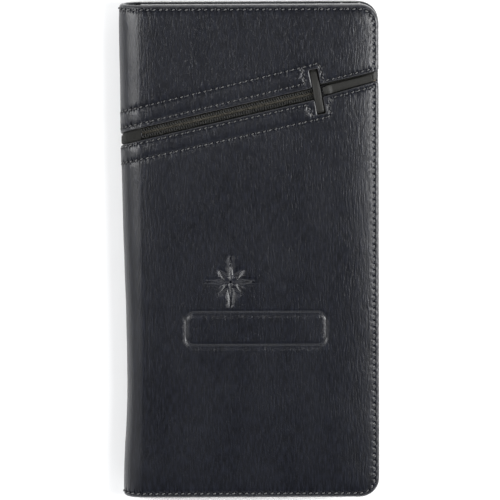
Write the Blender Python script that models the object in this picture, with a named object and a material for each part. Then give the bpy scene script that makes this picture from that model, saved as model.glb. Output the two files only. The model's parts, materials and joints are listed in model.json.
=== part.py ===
"""A travel document organizer: a leather bifold wallet, closed and lying on its back cover.

X runs from the spine (-) to the opening edge (+), Y along the spine and Z up through the thickness.
The spine is soft. It is built as three narrow strips between four fold lines, so that it rolls round
when the wallet is closed and lies flat when it is open. The front cover holds a slanting zip pocket.
"""

import math

import bmesh
import bpy
from mathutils import Matrix, Vector

MM = 0.001  # lengths in this file are in millimetres, and are scaled by this as they are built

# The closed wallet
WIDTH = 120.65
HEIGHT = 232.2
THICKNESS = 20.0
CORNER_RADIUS = 9.0
GAP = 0.3  # between pieces that lie against each other on the real wallet
EXTRA = 5.0  # how far a cutter reaches past what it cuts

# Leather, boards and linings
LEATHER = 1.0
SPINE_LEATHER = 0.95
BOARD = 1.8
FRONT_BOARD = 1.6
LINING = 0.5
SPINE_TAPE = 0.45
SPINE_LINER = 0.85
BACK_COVER = 3.9  # from its outer face to its lining
FRONT_COVER = 7.3  # thicker, for the zip pocket

# The spine: four folds on half an octagon, one leather thickness inside the outer skin
FOLD_DEPTH = LEATHER
FOLD_ANGLE = math.radians(45.0)
STRIP_COUNT = 3
STRIP = (THICKNESS - 2 * FOLD_DEPTH) / (1 + 2 * math.sin(FOLD_ANGLE))
OUTER_FOLD_X = -WIDTH / 2 + FOLD_DEPTH
INNER_FOLD_X = OUTER_FOLD_X + STRIP * math.cos(FOLD_ANGLE)
FOLDS = (
    (INNER_FOLD_X, FOLD_DEPTH),
    (OUTER_FOLD_X, FOLD_DEPTH + STRIP * math.sin(FOLD_ANGLE)),
    (OUTER_FOLD_X, THICKNESS - FOLD_DEPTH - STRIP * math.sin(FOLD_ANGLE)),
    (INNER_FOLD_X, THICKNESS - FOLD_DEPTH),
)
FOLD_GAP = 0.35  # from a fold to the end of each outer skin
FOLD_CLEARANCE = 0.2  # left between inner layers when a fold is closed
COVER_START = INNER_FOLD_X + 1.55  # where a cover's inner layers start, clear of the spine

# Heights of the front cover's layers, from its lining to its leather
FRONT_LINING_Z = THICKNESS - FRONT_COVER
FRONT_BOARD_Z = FRONT_LINING_Z + LINING + GAP
POCKET_LINER_Z = FRONT_BOARD_Z + FRONT_BOARD + GAP
POCKET_LINER_END = 5.0  # from each end of the wallet
POCKET_LINER_SIDE = 2.0  # from the opening edge
POCKET_LINER_RADIUS = 4.0
FRONT_LEATHER_Z = THICKNESS - LEATHER

# The zip: a line that rises towards the opening edge, and what lies along it
ZIP_SLOPE = math.radians(13.0)
ZIP_Y = 67.55  # where the line crosses X = 0
ZIP_GAP = 5.6
# The channel right of the window, across the zip line: (at the window, at the opening edge)
CHANNEL_LOW = (-2.4, -0.9)
CHANNEL_HIGH = (3.7, 3.45)
COIL_INNER = 0.45
COIL_OUTER = 2.4
COIL_Z = 16.7
COIL_HEIGHT = 0.95
COIL_RADIUS = 0.4
TAPE_WIDTH = 9.8
TAPE_Z = 16.9
TAPE = 0.5
COIL_START = -51.2
COIL_END = 38.9
STOP_LENGTH = 1.2
STOP_RADIUS = 0.3

# The window across the zip's closed end, and the keeper loop in it
WINDOW_X = 31.8
WINDOW_Y = 75.45
WINDOW_LEAN = math.radians(10.6)
WINDOW_WIDTH = 4.0
WINDOW_HEIGHT = 21.3
WINDOW_RADIUS = 0.5
KEEPER_LEFT = -1.7
KEEPER_RIGHT = 1.4
KEEPER = 0.5
KEEPER_TAB = 3.4
KEEPER_TAB_HEIGHT = 0.4
KEEPER_STEP = 0.6

# The slider and its pull
SLIDER_START = 31.3
SLIDER_LENGTH = 8.0
SLIDER_HALF_WIDTH = 2.95
SLIDER_LOW = 16.0
SLIDER_HIGH = 18.3
SLIDER_PLATE = 0.35
SLIDER_LIP = 0.3
SLIDER_POST = 0.2
PULL_AXIS_U = 35.7
PULL_AXIS_Z = 18.62
ARCH_HALF_LENGTH = 1.3
ARCH_HALF_WIDTH = 0.3
ARCH_HIGH = 19.2
ARCH_WALL = 0.3
ARCH_RADIUS = 0.2
LINK_BAR = 0.3
LINK_HALF_WIDTH = 0.72
LINK_LENGTH = 3.2
STRAP_START = 39.2
STRAP_END = 59.0
STRAP_LOW = (-1.85, -0.7)  # its lower side across the zip line: (at its start, at its end)
STRAP_HIGH = (2.4, 2.5)
STRAP_RADII = (0.2, 0.5)
STRAP = 0.65

# The strip of leather under the pull
BACKING_START = 41.3
BACKING_END_INSET = 3.0
BACKING_OVERLAP = 3.5
BACKING_Z = 16.1
BACKING = 0.4
BACKING_RADIUS = 0.5

# Pockets on the two inner faces
POCKET_LEFT = -50.0
POCKET_RIGHT = 41.3
POCKET_BOTTOM = -111.0
POCKET_LEATHER = 0.7
POCKET_RADIUS = 1.5
POCKET_INSET = 1.0  # of the front cover's pockets from the back cover's, at the spine
TICKET_POCKET_TOP = 70.0
TICKET_POCKET = 0.6
PASSPORT_POCKET_TOP = 22.0
PASSPORT_SPACE = 4.3
THUMB_NOTCH_RADIUS = 11.0
PEN_LOOP_LEFT = 42.7
PEN_LOOP_RIGHT = 52.1
PEN_LOOP_BOTTOM = 91.6
PEN_LOOP_TOP = 115.9
PEN_LOOP_HEIGHT = 8.0
PEN_LOOP_RADIUS = 3.0
CARD_SLOT_COUNT = 4
CARD_SLOT_BOTTOM = 28.0
CARD_SLOT_TOP = 106.0
CARD_SLOT_STEP = 12.5
CARD_SLOT = 0.5
ID_FRAME_BOTTOM = -96.0
ID_FRAME_TOP = -22.0
ID_BORDER = 9.0
ID_RADIUS = 3.0
ID_FRAME = 0.5
ID_FILM = 0.3
ID_FILM_RADIUS = 1.0
SEAM_OVERLAP = 2.0  # how far the film reaches under its frame


def in_zip(u, z):
    """X, Y and Z of a place on the zip's middle line, at this distance along it."""
    return u * math.cos(ZIP_SLOPE), ZIP_Y + u * math.sin(ZIP_SLOPE), z


BODY_JOINTS = {
    "back_cover": (0.0, 0.0, 0.0),
    "spine_1": (FOLDS[0][0], 0.0, FOLDS[0][1]),
    "spine_2": (FOLDS[1][0], 0.0, FOLDS[1][1]),
    "spine_3": (FOLDS[2][0], 0.0, FOLDS[2][1]),
    "front_cover": (FOLDS[3][0], 0.0, FOLDS[3][1]),
    "zip_slider": in_zip(SLIDER_START, SLIDER_LOW),
    "zip_pull": in_zip(PULL_AXIS_U, PULL_AXIS_Z),
}

# Frames that a flat outline is drawn in. Each takes the outline's own X, Y and Z to the wallet's.
ALONG_Y = Matrix.Rotation(math.pi / 2, 4, "X")
ZIP_FRAME = Matrix.Translation((0, ZIP_Y * MM, 0)) @ Matrix.Rotation(ZIP_SLOPE, 4, "Z")
WINDOW_PLACE = Matrix.Translation((WINDOW_X * MM, WINDOW_Y * MM, 0))
WINDOW_FRAME = WINDOW_PLACE @ Matrix.Rotation(WINDOW_LEAN, 4, "Z")
SECTION_ACROSS = Matrix(((0, 0, 1, 0), (1, 0, 0, 0), (0, 1, 0, 0), (0, 0, 0, 1)))


def clear_scene():
    for obj in list(bpy.data.objects):
        bpy.data.objects.remove(obj)


def new_collection(name):
    collection = bpy.data.collections.new(name)
    bpy.context.scene.collection.children.link(collection)
    return collection


def principled(name, color, roughness, metallic=0.0, alpha=1.0):
    material = bpy.data.materials.new(name)
    material.use_nodes = True
    shader = material.node_tree.nodes["Principled BSDF"]
    shader.inputs["Base Color"].default_value = (*color, 1.0)
    shader.inputs["Roughness"].default_value = roughness
    shader.inputs["Metallic"].default_value = metallic
    shader.inputs["Alpha"].default_value = alpha
    return material


def rounded(corners, steps=6):
    """The points of a closed outline whose corners are (x, y, radius)."""
    points = []
    for i, (x, y, radius) in enumerate(corners):
        corner = Vector((x, y))
        if radius == 0:
            points.append(corner)
            continue
        before = (Vector(corners[i - 1][:2]) - corner).normalized()
        after = (Vector(corners[(i + 1) % len(corners)][:2]) - corner).normalized()
        half = before.angle(after) / 2
        centre = corner + (before + after).normalized() * radius / math.sin(half)
        first = corner + before * radius / math.tan(half) - centre
        last = corner + after * radius / math.tan(half) - centre
        start = math.atan2(first.y, first.x)
        turn = math.remainder(math.atan2(last.y, last.x) - start, 2 * math.pi)
        for step in range(steps + 1):
            angle = start + turn * step / steps
            points.append(centre + radius * Vector((math.cos(angle), math.sin(angle))))
    return points


def rectangle(left, right, bottom, top, radius=0.0):
    return [(left, bottom, radius), (right, bottom, radius), (right, top, radius), (left, top, radius)]


def cover_outline(inset, left):
    """A cover: square at the spine, round at its two free corners, drawn in by inset at its free edges."""
    right = WIDTH / 2 - inset
    top = HEIGHT / 2 - inset
    radius = CORNER_RADIUS - inset
    return [(left, -top, 0), (right, -top, radius), (right, top, radius), (left, top, 0)]


def flat_curve(name, outlines, thickness):
    """A filled 2D curve: the first outline is the piece, and any others are holes in it."""
    curve = bpy.data.curves.new(name, "CURVE")
    curve.dimensions = "2D"
    curve.fill_mode = "BOTH"
    curve.extrude = thickness / 2 * MM
    for outline in outlines:
        points = rounded(outline)
        spline = curve.splines.new("POLY")
        spline.points.add(len(points) - 1)
        for slot, point in zip(spline.points, points):
            slot.co = (point.x * MM, point.y * MM, 0, 1)
        spline.use_cyclic_u = True
    return curve


def plate(name, outlines, low, high, frame=Matrix()):
    """A mesh object from a flat outline, reaching from low to high along its frame's Z."""
    curve = flat_curve(name, outlines, high - low)
    guide = bpy.data.objects.new(name + "_outline", curve)
    bpy.context.scene.collection.objects.link(guide)
    bpy.context.view_layer.update()
    evaluated = guide.evaluated_get(bpy.context.evaluated_depsgraph_get())
    mesh = bpy.data.meshes.new_from_object(evaluated)
    bpy.data.objects.remove(guide)
    mesh.name = name
    welded = bmesh.new()
    welded.from_mesh(mesh)
    bmesh.ops.remove_doubles(welded, verts=welded.verts, dist=0.001 * MM)
    bmesh.ops.recalc_face_normals(welded, faces=welded.faces)
    welded.to_mesh(mesh)
    welded.free()
    obj = bpy.data.objects.new(name, mesh)
    obj.matrix_world = frame @ Matrix.Translation((0, 0, (low + high) / 2 * MM))
    return obj


def add_piece(obj, material, body):
    """Puts a piece in the wallet's collection, with its material, under its body's empty."""
    obj.data.materials.clear()
    obj.data.materials.append(material)
    wallet.objects.link(obj)
    placed = obj.matrix_world.copy()
    obj.parent = bodies[body]
    obj.matrix_parent_inverse = bodies[body].matrix_world.inverted()
    obj.matrix_world = placed
    return obj


def add_boolean(obj, other, operation):
    cutters.objects.link(other)
    other.hide_render = True
    other.display_type = "WIRE"
    modifier = obj.modifiers.new(operation.title(), "BOOLEAN")
    modifier.operation = operation
    modifier.solver = "EXACT"
    modifier.object = other


def box(name, low, high):
    outline = rectangle(low[0], high[0], low[1], high[1])
    return plate(name, [outline], low[2], high[2])


def zip_line(x):
    """Y of the zip's middle at this X."""
    return ZIP_Y + math.tan(ZIP_SLOPE) * x


def beside_zip(x, offset):
    """Y of a line that runs beside the zip, offset across it."""
    return zip_line(x) + offset / math.cos(ZIP_SLOPE)


def along_zip(x, offset):
    """The distance along the zip at which a line beside it reaches this X."""
    return (x + offset * math.sin(ZIP_SLOPE)) / math.cos(ZIP_SLOPE)


def window_corner(side, end):
    """A corner of the window: side is -1 left or 1 right, end is -1 bottom or 1 top."""
    across = side * WINDOW_WIDTH / 2
    up = end * WINDOW_HEIGHT / 2
    x = WINDOW_X + across * math.cos(WINDOW_LEAN) - up * math.sin(WINDOW_LEAN)
    y = WINDOW_Y + across * math.sin(WINDOW_LEAN) + up * math.cos(WINDOW_LEAN)
    return x, y


def window_meets(side, offset):
    """Where a side of the window meets the line at this offset across the zip."""
    top = Vector(window_corner(side, 1))
    bottom = Vector(window_corner(side, -1))
    over_top = top.y - beside_zip(top.x, offset)
    over_bottom = bottom.y - beside_zip(bottom.x, offset)
    share = over_top / (over_top - over_bottom)
    return top.lerp(bottom, share)


def front_panel_outline(end):
    """The front leather above (end 1) or below (end -1) the zip, with its part of the window cut out."""
    left = INNER_FOLD_X + FOLD_GAP
    right = WIDTH / 2
    edge = end * HEIGHT / 2
    zip_side = end * ZIP_GAP / 2
    channel_start, channel_end = CHANNEL_HIGH if end > 0 else CHANNEL_LOW
    return [
        (left, edge, 0),
        (left, beside_zip(left, zip_side), 0),
        (*window_meets(-1, zip_side), 0),
        (*window_corner(-1, end), WINDOW_RADIUS),
        (*window_corner(1, end), WINDOW_RADIUS),
        (*window_meets(1, channel_start), 0),
        (right, beside_zip(right, channel_end), 0),
        (right, edge, CORNER_RADIUS),
    ]


def cover_hollow(name, low, high):
    """A cutter that leaves a leather cover's face and its turned rim, and frees its end at the spine."""
    return plate(name, [cover_outline(LEATHER, INNER_FOLD_X - EXTRA)], low, high)


def spine_relief(name, low, high):
    """A cutter that ends a cover's rim short of the spine."""
    edge = HEIGHT / 2 + EXTRA
    return box(name, (INNER_FOLD_X - EXTRA, -edge, low), (COVER_START, edge, high))


def back_cover():
    leather_outline = cover_outline(0, INNER_FOLD_X + FOLD_GAP)
    leather = plate("back_leather", [leather_outline], 0, BACK_COVER)
    add_boolean(leather, cover_hollow("back_hollow", LEATHER, BACK_COVER + EXTRA), "DIFFERENCE")
    add_boolean(leather, spine_relief("back_relief", LEATHER, BACK_COVER + EXTRA), "DIFFERENCE")
    add_piece(leather, black_leather, "back_cover")
    inner = cover_outline(LEATHER + GAP, COVER_START)
    board_z = LEATHER + GAP
    add_piece(plate("back_board", [inner], board_z, board_z + BOARD), fibre_board, "back_cover")
    add_piece(plate("back_lining", [inner], BACK_COVER - LINING, BACK_COVER), lining_cloth, "back_cover")


def ticket_pocket():
    low = BACK_COVER + GAP
    outline = rectangle(POCKET_LEFT, POCKET_RIGHT, POCKET_BOTTOM, TICKET_POCKET_TOP, POCKET_RADIUS)
    add_piece(plate("ticket_pocket", [outline], low, low + TICKET_POCKET), pocket_leather, "back_cover")
    return low + TICKET_POCKET


def passport_pocket(floor):
    """A gusseted pocket: a front panel and three walls, open at the top and towards the ticket pocket."""
    panel_low = floor + PASSPORT_SPACE
    panel_high = panel_low + POCKET_LEATHER
    outline = rectangle(POCKET_LEFT, POCKET_RIGHT, POCKET_BOTTOM, PASSPORT_POCKET_TOP)
    pocket = plate("passport_pocket", [outline], floor + GAP, panel_high)
    space = box(
        "passport_space",
        (POCKET_LEFT + POCKET_LEATHER, POCKET_BOTTOM + POCKET_LEATHER, floor - EXTRA),
        (POCKET_RIGHT - POCKET_LEATHER, PASSPORT_POCKET_TOP + EXTRA, panel_low),
    )
    add_boolean(pocket, space, "DIFFERENCE")
    middle = (POCKET_LEFT + POCKET_RIGHT) / 2
    notch_outline = rectangle(
        middle - THUMB_NOTCH_RADIUS,
        middle + THUMB_NOTCH_RADIUS,
        PASSPORT_POCKET_TOP - THUMB_NOTCH_RADIUS / 2,
        PASSPORT_POCKET_TOP + THUMB_NOTCH_RADIUS,
        THUMB_NOTCH_RADIUS / 2,
    )
    notch = plate("thumb_notch", [notch_outline], floor, panel_high + EXTRA)
    add_boolean(pocket, notch, "DIFFERENCE")
    add_piece(pocket, pocket_leather, "back_cover")


def pen_loop():
    low = BACK_COVER + GAP
    high = low + PEN_LOOP_HEIGHT
    outer = rectangle(PEN_LOOP_LEFT, PEN_LOOP_RIGHT, low, high, PEN_LOOP_RADIUS)
    inner = rectangle(
        PEN_LOOP_LEFT + POCKET_LEATHER,
        PEN_LOOP_RIGHT - POCKET_LEATHER,
        low + POCKET_LEATHER,
        high - POCKET_LEATHER,
        PEN_LOOP_RADIUS - POCKET_LEATHER,
    )
    loop = plate("pen_loop", [outer, inner], -PEN_LOOP_TOP, -PEN_LOOP_BOTTOM, ALONG_Y)
    add_piece(loop, pocket_leather, "back_cover")


def strip_frame(index):
    """The frame of one spine strip: X from its lower fold to its upper one, Y up the spine, Z outwards."""
    (x0, z0), (x1, z1) = FOLDS[index], FOLDS[index + 1]
    tilt = -math.atan2(z1 - z0, x1 - x0)
    return Matrix.Translation((x0 * MM, 0, z0 * MM)) @ Matrix.Rotation(tilt, 4, "Y")


def fold_margin(depth):
    """How far an inner layer this deep stays from a fold, so that a closed fold doesn't pinch it."""
    return FOLD_CLEARANCE + depth * math.tan(FOLD_ANGLE / 2)


def spine_strip(index):
    body = f"spine_{index + 1}"
    frame = strip_frame(index)
    near = FOLD_GAP
    far = STRIP - FOLD_GAP
    unrolled = INNER_FOLD_X - STRIP * (STRIP_COUNT - index)  # X of the strip's start, laid out flat
    for label, end in (("upper", 1), ("lower", -1)):
        side = end * ZIP_GAP / 2
        outline = [
            (near, beside_zip(unrolled + near, side), 0),
            (far, beside_zip(unrolled + far, side), 0),
            (far, end * HEIGHT / 2, 0),
            (near, end * HEIGHT / 2, 0),
        ]
        inner = FOLD_DEPTH - SPINE_LEATHER
        add_piece(plate(f"{body}_leather_{label}", [outline], inner, FOLD_DEPTH, frame), black_leather, body)
    tape_high = -GAP
    tape_low = tape_high - SPINE_TAPE
    near = fold_margin(-tape_low)
    far = STRIP - near
    reach = COIL_OUTER + GAP + TAPE_WIDTH
    outline = [
        (near, beside_zip(unrolled + near, -reach), 0),
        (far, beside_zip(unrolled + far, -reach), 0),
        (far, beside_zip(unrolled + far, reach), 0),
        (near, beside_zip(unrolled + near, reach), 0),
    ]
    add_piece(plate(f"{body}_zip_tape", [outline], tape_low, tape_high, frame), zip_cloth, body)
    liner_high = tape_low - GAP
    liner_low = liner_high - SPINE_LINER
    section = [
        (fold_margin(-liner_high), liner_high, 0),
        (fold_margin(-liner_low), liner_low, 0),
        (STRIP - fold_margin(-liner_low), liner_low, 0),
        (STRIP - fold_margin(-liner_high), liner_high, 0),
    ]
    half = HEIGHT / 2 - LEATHER - GAP
    add_piece(plate(f"{body}_liner", [section], -half, half, frame @ ALONG_Y), lining_cloth, body)


def front_leather(label, end):
    leather = plate(f"front_{label}_leather", [front_panel_outline(end)], FRONT_LINING_Z, THICKNESS)
    low = FRONT_LINING_Z - EXTRA
    add_boolean(leather, cover_hollow(f"front_{label}_hollow", low, FRONT_LEATHER_Z), "DIFFERENCE")
    add_boolean(leather, spine_relief(f"front_{label}_relief", low, FRONT_LEATHER_Z), "DIFFERENCE")
    add_piece(leather, black_leather, "front_cover")


def front_layers():
    inner = cover_outline(LEATHER + GAP, COVER_START)
    layers = (
        ("front_lining", FRONT_LINING_Z, LINING, lining_cloth),
        ("front_board", FRONT_BOARD_Z, FRONT_BOARD, fibre_board),
    )
    for name, low, thickness, material in layers:
        add_piece(plate(name, [inner], low, low + thickness), material, "front_cover")
    right = WIDTH / 2 - POCKET_LINER_SIDE
    top = HEIGHT / 2 - POCKET_LINER_END
    outline = rectangle(COVER_START + GAP, right, POCKET_LINER_END, top, POCKET_LINER_RADIUS)
    liner = plate("zip_pocket_liner", [outline], POCKET_LINER_Z, POCKET_LINER_Z + GAP)
    add_piece(liner, lining_cloth, "front_cover")


def zip_tape(label, end):
    low, high = sorted((end * (COIL_OUTER + GAP), end * (COIL_OUTER + GAP + TAPE_WIDTH)))
    left = COVER_START + GAP
    right = WIDTH / 2 - 2 * LEATHER
    outline = [
        (along_zip(left, low), low, 0),
        (along_zip(right, low), low, 0),
        (along_zip(right, high), high, 0),
        (along_zip(left, high), high, 0),
    ]
    tape = plate(f"zip_tape_{label}", [outline], TAPE_Z, TAPE_Z + TAPE, ZIP_FRAME)
    add_piece(tape, zip_cloth, "front_cover")


def zip_coil(label, end):
    low, high = sorted((end * COIL_INNER, end * COIL_OUTER))
    section = rectangle(low, high, COIL_Z, COIL_Z + COIL_HEIGHT, COIL_RADIUS)
    coil = plate(f"zip_coil_{label}", [section], COIL_START, COIL_END, ZIP_FRAME @ SECTION_ACROSS)
    add_piece(coil, coil_nylon, "front_cover")


def zip_stop(name, start):
    outline = rectangle(start, start + STOP_LENGTH, -COIL_OUTER, COIL_OUTER, STOP_RADIUS)
    stop = plate(name, [outline], COIL_Z, COIL_Z + COIL_HEIGHT, ZIP_FRAME)
    add_piece(stop, black_metal, "front_cover")


def zip_chain():
    """Two tapes, two rows of coil and the stops at their ends."""
    for label, end in (("upper", 1), ("lower", -1)):
        zip_tape(label, end)
        zip_coil(label, end)
    zip_stop("zip_top_stop", SLIDER_START + SLIDER_LENGTH + GAP)
    zip_stop("zip_bottom_stop", COIL_START - GAP - STOP_LENGTH)


def channel_backing():
    end = along_zip(WIDTH / 2 - BACKING_END_INSET, 0)
    low = CHANNEL_LOW[1] - BACKING_OVERLAP
    high = CHANNEL_HIGH[1] + BACKING_OVERLAP
    outline = rectangle(BACKING_START, end, low, high, BACKING_RADIUS)
    backing = plate("channel_backing", [outline], BACKING_Z, BACKING_Z + BACKING, ZIP_FRAME)
    add_piece(backing, pocket_leather, "front_cover")


def keeper_loop():
    """A strip level with the leather, whose ends step down and run under it."""
    tab_low = SLIDER_HIGH
    tab_high = tab_low + KEEPER_TAB_HEIGHT
    outer = WINDOW_HEIGHT / 2 - GAP
    inner = outer - KEEPER_STEP
    tab_end = outer + KEEPER_TAB
    strip_low = THICKNESS - KEEPER
    section = [
        (-tab_end, tab_low, 0),
        (-inner, tab_low, 0),
        (-inner, strip_low, 0),
        (inner, strip_low, 0),
        (inner, tab_low, 0),
        (tab_end, tab_low, 0),
        (tab_end, tab_high, 0),
        (outer, tab_high, 0),
        (outer, THICKNESS, 0),
        (-outer, THICKNESS, 0),
        (-outer, tab_high, 0),
        (-tab_end, tab_high, 0),
    ]
    keeper = plate("keeper_loop", [section], KEEPER_LEFT, KEEPER_RIGHT, WINDOW_FRAME @ SECTION_ACROSS)
    add_piece(keeper, pocket_leather, "front_cover")


def card_slots():
    for index in range(CARD_SLOT_COUNT):
        high = FRONT_LINING_Z - GAP - index * (CARD_SLOT + GAP)
        top = CARD_SLOT_TOP - index * CARD_SLOT_STEP
        outline = rectangle(POCKET_LEFT + POCKET_INSET, POCKET_RIGHT, CARD_SLOT_BOTTOM, top, POCKET_RADIUS)
        slot = plate(f"card_slot_{index + 1}", [outline], high - CARD_SLOT, high)
        add_piece(slot, pocket_leather, "front_cover")


def id_window():
    left = POCKET_LEFT + POCKET_INSET
    film_high = FRONT_LINING_Z - GAP
    frame_high = film_high - ID_FILM - GAP
    outer = rectangle(left, POCKET_RIGHT, ID_FRAME_BOTTOM, ID_FRAME_TOP, POCKET_RADIUS)
    right = POCKET_RIGHT - ID_BORDER
    sides = (left + ID_BORDER, right, ID_FRAME_BOTTOM + ID_BORDER, ID_FRAME_TOP - ID_BORDER)
    opening = rectangle(*sides, ID_RADIUS)
    frame = plate("id_window_frame", [outer, opening], frame_high - ID_FRAME, frame_high)
    add_piece(frame, pocket_leather, "front_cover")
    film = rectangle(
        sides[0] - SEAM_OVERLAP,
        sides[1] + SEAM_OVERLAP,
        sides[2] - SEAM_OVERLAP,
        sides[3] + SEAM_OVERLAP,
        ID_FILM_RADIUS,
    )
    add_piece(plate("id_window_film", [film], film_high - ID_FILM, film_high), clear_film, "front_cover")


def slider_section():
    """The slider's two plates, with lips round the coil, joined by a thin post between its rows."""
    width = SLIDER_HALF_WIDTH
    right_half = [
        (SLIDER_POST, SLIDER_LOW + SLIDER_PLATE),
        (width - SLIDER_LIP, SLIDER_LOW + SLIDER_PLATE),
        (width - SLIDER_LIP, SLIDER_LOW + SLIDER_PLATE + SLIDER_LIP),
        (width, SLIDER_LOW + SLIDER_PLATE + SLIDER_LIP),
        (width, SLIDER_LOW),
    ]
    upper = [(x, SLIDER_LOW + SLIDER_HIGH - z) for x, z in reversed(right_half)]
    right = list(reversed(right_half)) + list(reversed(upper))
    left = [(-x, z) for x, z in reversed(right)]
    return [(x, z, 0) for x, z in right + left]


def zip_slider():
    frame = ZIP_FRAME @ SECTION_ACROSS
    slider = plate("zip_slider_body", [slider_section()], SLIDER_START, SLIDER_START + SLIDER_LENGTH, frame)
    foot = SLIDER_HIGH - SLIDER_PLATE / 2
    outer = ARCH_HALF_LENGTH
    inner = ARCH_HALF_LENGTH - ARCH_WALL
    arch_outline = [
        (PULL_AXIS_U - outer, foot, 0),
        (PULL_AXIS_U - inner, foot, 0),
        (PULL_AXIS_U - inner, ARCH_HIGH - ARCH_WALL, 0),
        (PULL_AXIS_U + inner, ARCH_HIGH - ARCH_WALL, 0),
        (PULL_AXIS_U + inner, foot, 0),
        (PULL_AXIS_U + outer, foot, 0),
        (PULL_AXIS_U + outer, ARCH_HIGH, ARCH_RADIUS),
        (PULL_AXIS_U - outer, ARCH_HIGH, ARCH_RADIUS),
    ]
    arch = plate("slider_arch", [arch_outline], -ARCH_HALF_WIDTH, ARCH_HALF_WIDTH, ZIP_FRAME @ ALONG_Y)
    add_boolean(slider, arch, "UNION")
    add_piece(slider, black_metal, "zip_slider")


def zip_pull():
    """A wire link that turns under the slider's arch, and the leather strap on its far end."""
    half_bar = LINK_BAR / 2
    start = PULL_AXIS_U - half_bar
    end = start + LINK_LENGTH
    outer = rectangle(start, end, -LINK_HALF_WIDTH, LINK_HALF_WIDTH)
    inner_half = LINK_HALF_WIDTH - LINK_BAR
    inner = rectangle(start + LINK_BAR, end - LINK_BAR, -inner_half, inner_half)
    link = plate("pull_link", [outer, inner], PULL_AXIS_Z - half_bar, PULL_AXIS_Z + half_bar, ZIP_FRAME)
    add_piece(link, black_metal, "zip_pull")
    strap_outline = [
        (STRAP_START, STRAP_LOW[0], STRAP_RADII[0]),
        (STRAP_END, STRAP_LOW[1], STRAP_RADII[1]),
        (STRAP_END, STRAP_HIGH[1], STRAP_RADII[1]),
        (STRAP_START, STRAP_HIGH[0], STRAP_RADII[0]),
    ]
    low = ARCH_HIGH - STRAP
    add_piece(plate("pull_strap", [strap_outline], low, ARCH_HIGH, ZIP_FRAME), pocket_leather, "zip_pull")


clear_scene()
wallet = new_collection("travel_document_organizer")
cutters = new_collection("cutters")
bodies = {}
for body_name, place in BODY_JOINTS.items():
    bodies[body_name] = bpy.data.objects.new(body_name + "_axis", None)
    bodies[body_name].location = Vector(place) * MM
    wallet.objects.link(bodies[body_name])
bpy.context.view_layer.update()

black_leather = principled("black_leather", (0.020, 0.021, 0.025), 0.42)
pocket_leather = principled("pocket_leather", (0.034, 0.033, 0.030), 0.5)
fibre_board = principled("fibre_board", (0.16, 0.13, 0.10), 0.9)
lining_cloth = principled("lining_cloth", (0.095, 0.090, 0.075), 0.85)
zip_cloth = principled("zip_cloth", (0.028, 0.029, 0.026), 0.9)
coil_nylon = principled("coil_nylon", (0.045, 0.047, 0.043), 0.45)
black_metal = principled("black_metal", (0.03, 0.03, 0.03), 0.35, metallic=1.0)
clear_film = principled("clear_film", (0.8, 0.8, 0.8), 0.1, alpha=0.25)

back_cover()
pocket_floor = ticket_pocket()
passport_pocket(pocket_floor)
pen_loop()
for strip_index in range(STRIP_COUNT):
    spine_strip(strip_index)
front_leather("upper", 1)
front_leather("lower", -1)
front_layers()
zip_chain()
channel_backing()
keeper_loop()
card_slots()
id_window()
zip_slider()
zip_pull()
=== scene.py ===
"""The looks of the travel document organizer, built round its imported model.

Lengths are in millimetres and are scaled by MM as a mesh is made. The leather outside is treated as one
hide: it lies flat on the front, runs round the spine and lies flat under the back. A place on it is
(x, y, depth). x is measured along the leather, so it equals X on the front and falls on past the spine,
y equals Y, and depth is how far the place lies below the grain side.
"""

import json
import math
import random
from collections import namedtuple

import bmesh
import bpy
import numpy as np
from mathutils import Matrix, Vector, kdtree
from mathutils.geometry import delaunay_2d_cdt


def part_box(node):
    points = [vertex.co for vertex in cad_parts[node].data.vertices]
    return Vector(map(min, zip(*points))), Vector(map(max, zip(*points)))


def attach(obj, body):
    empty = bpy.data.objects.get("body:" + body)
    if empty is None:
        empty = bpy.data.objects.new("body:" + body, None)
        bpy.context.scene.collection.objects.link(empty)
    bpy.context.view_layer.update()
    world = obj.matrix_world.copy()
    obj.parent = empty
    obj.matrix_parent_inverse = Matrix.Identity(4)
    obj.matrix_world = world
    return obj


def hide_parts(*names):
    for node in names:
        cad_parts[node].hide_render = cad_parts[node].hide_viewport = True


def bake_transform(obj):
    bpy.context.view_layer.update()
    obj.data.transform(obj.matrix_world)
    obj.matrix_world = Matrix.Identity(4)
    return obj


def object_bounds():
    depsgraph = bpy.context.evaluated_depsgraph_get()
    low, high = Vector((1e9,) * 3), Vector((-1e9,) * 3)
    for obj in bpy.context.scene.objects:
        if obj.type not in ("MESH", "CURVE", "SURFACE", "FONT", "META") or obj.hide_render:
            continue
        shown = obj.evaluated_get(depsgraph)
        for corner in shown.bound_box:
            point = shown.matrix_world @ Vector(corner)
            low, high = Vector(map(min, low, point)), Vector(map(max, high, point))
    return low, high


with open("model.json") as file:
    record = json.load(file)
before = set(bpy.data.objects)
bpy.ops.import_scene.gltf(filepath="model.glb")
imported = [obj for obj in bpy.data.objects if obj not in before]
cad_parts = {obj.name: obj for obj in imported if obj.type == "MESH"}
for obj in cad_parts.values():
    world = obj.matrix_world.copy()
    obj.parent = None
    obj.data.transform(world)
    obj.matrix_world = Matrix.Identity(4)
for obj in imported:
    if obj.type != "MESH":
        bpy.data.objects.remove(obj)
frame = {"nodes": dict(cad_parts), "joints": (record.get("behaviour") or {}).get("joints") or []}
cad_low, cad_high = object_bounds()

MM = 0.001

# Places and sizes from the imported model
RIGHT = cad_high.x / MM
TOP = cad_high.y / MM
THICKNESS = cad_high.z / MM
SPINE_RADIUS = THICKNESS / 2
SPINE_X = cad_low.x / MM + SPINE_RADIUS  # where the flat front ends and the curve of the spine starts
BACK_SEAM = SPINE_X - math.pi * SPINE_RADIUS
BACK_EDGE = BACK_SEAM - (RIGHT - SPINE_X)
CORNER = 9.0
JOINTS = {joint["name"]: joint for joint in frame["joints"]}

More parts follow.
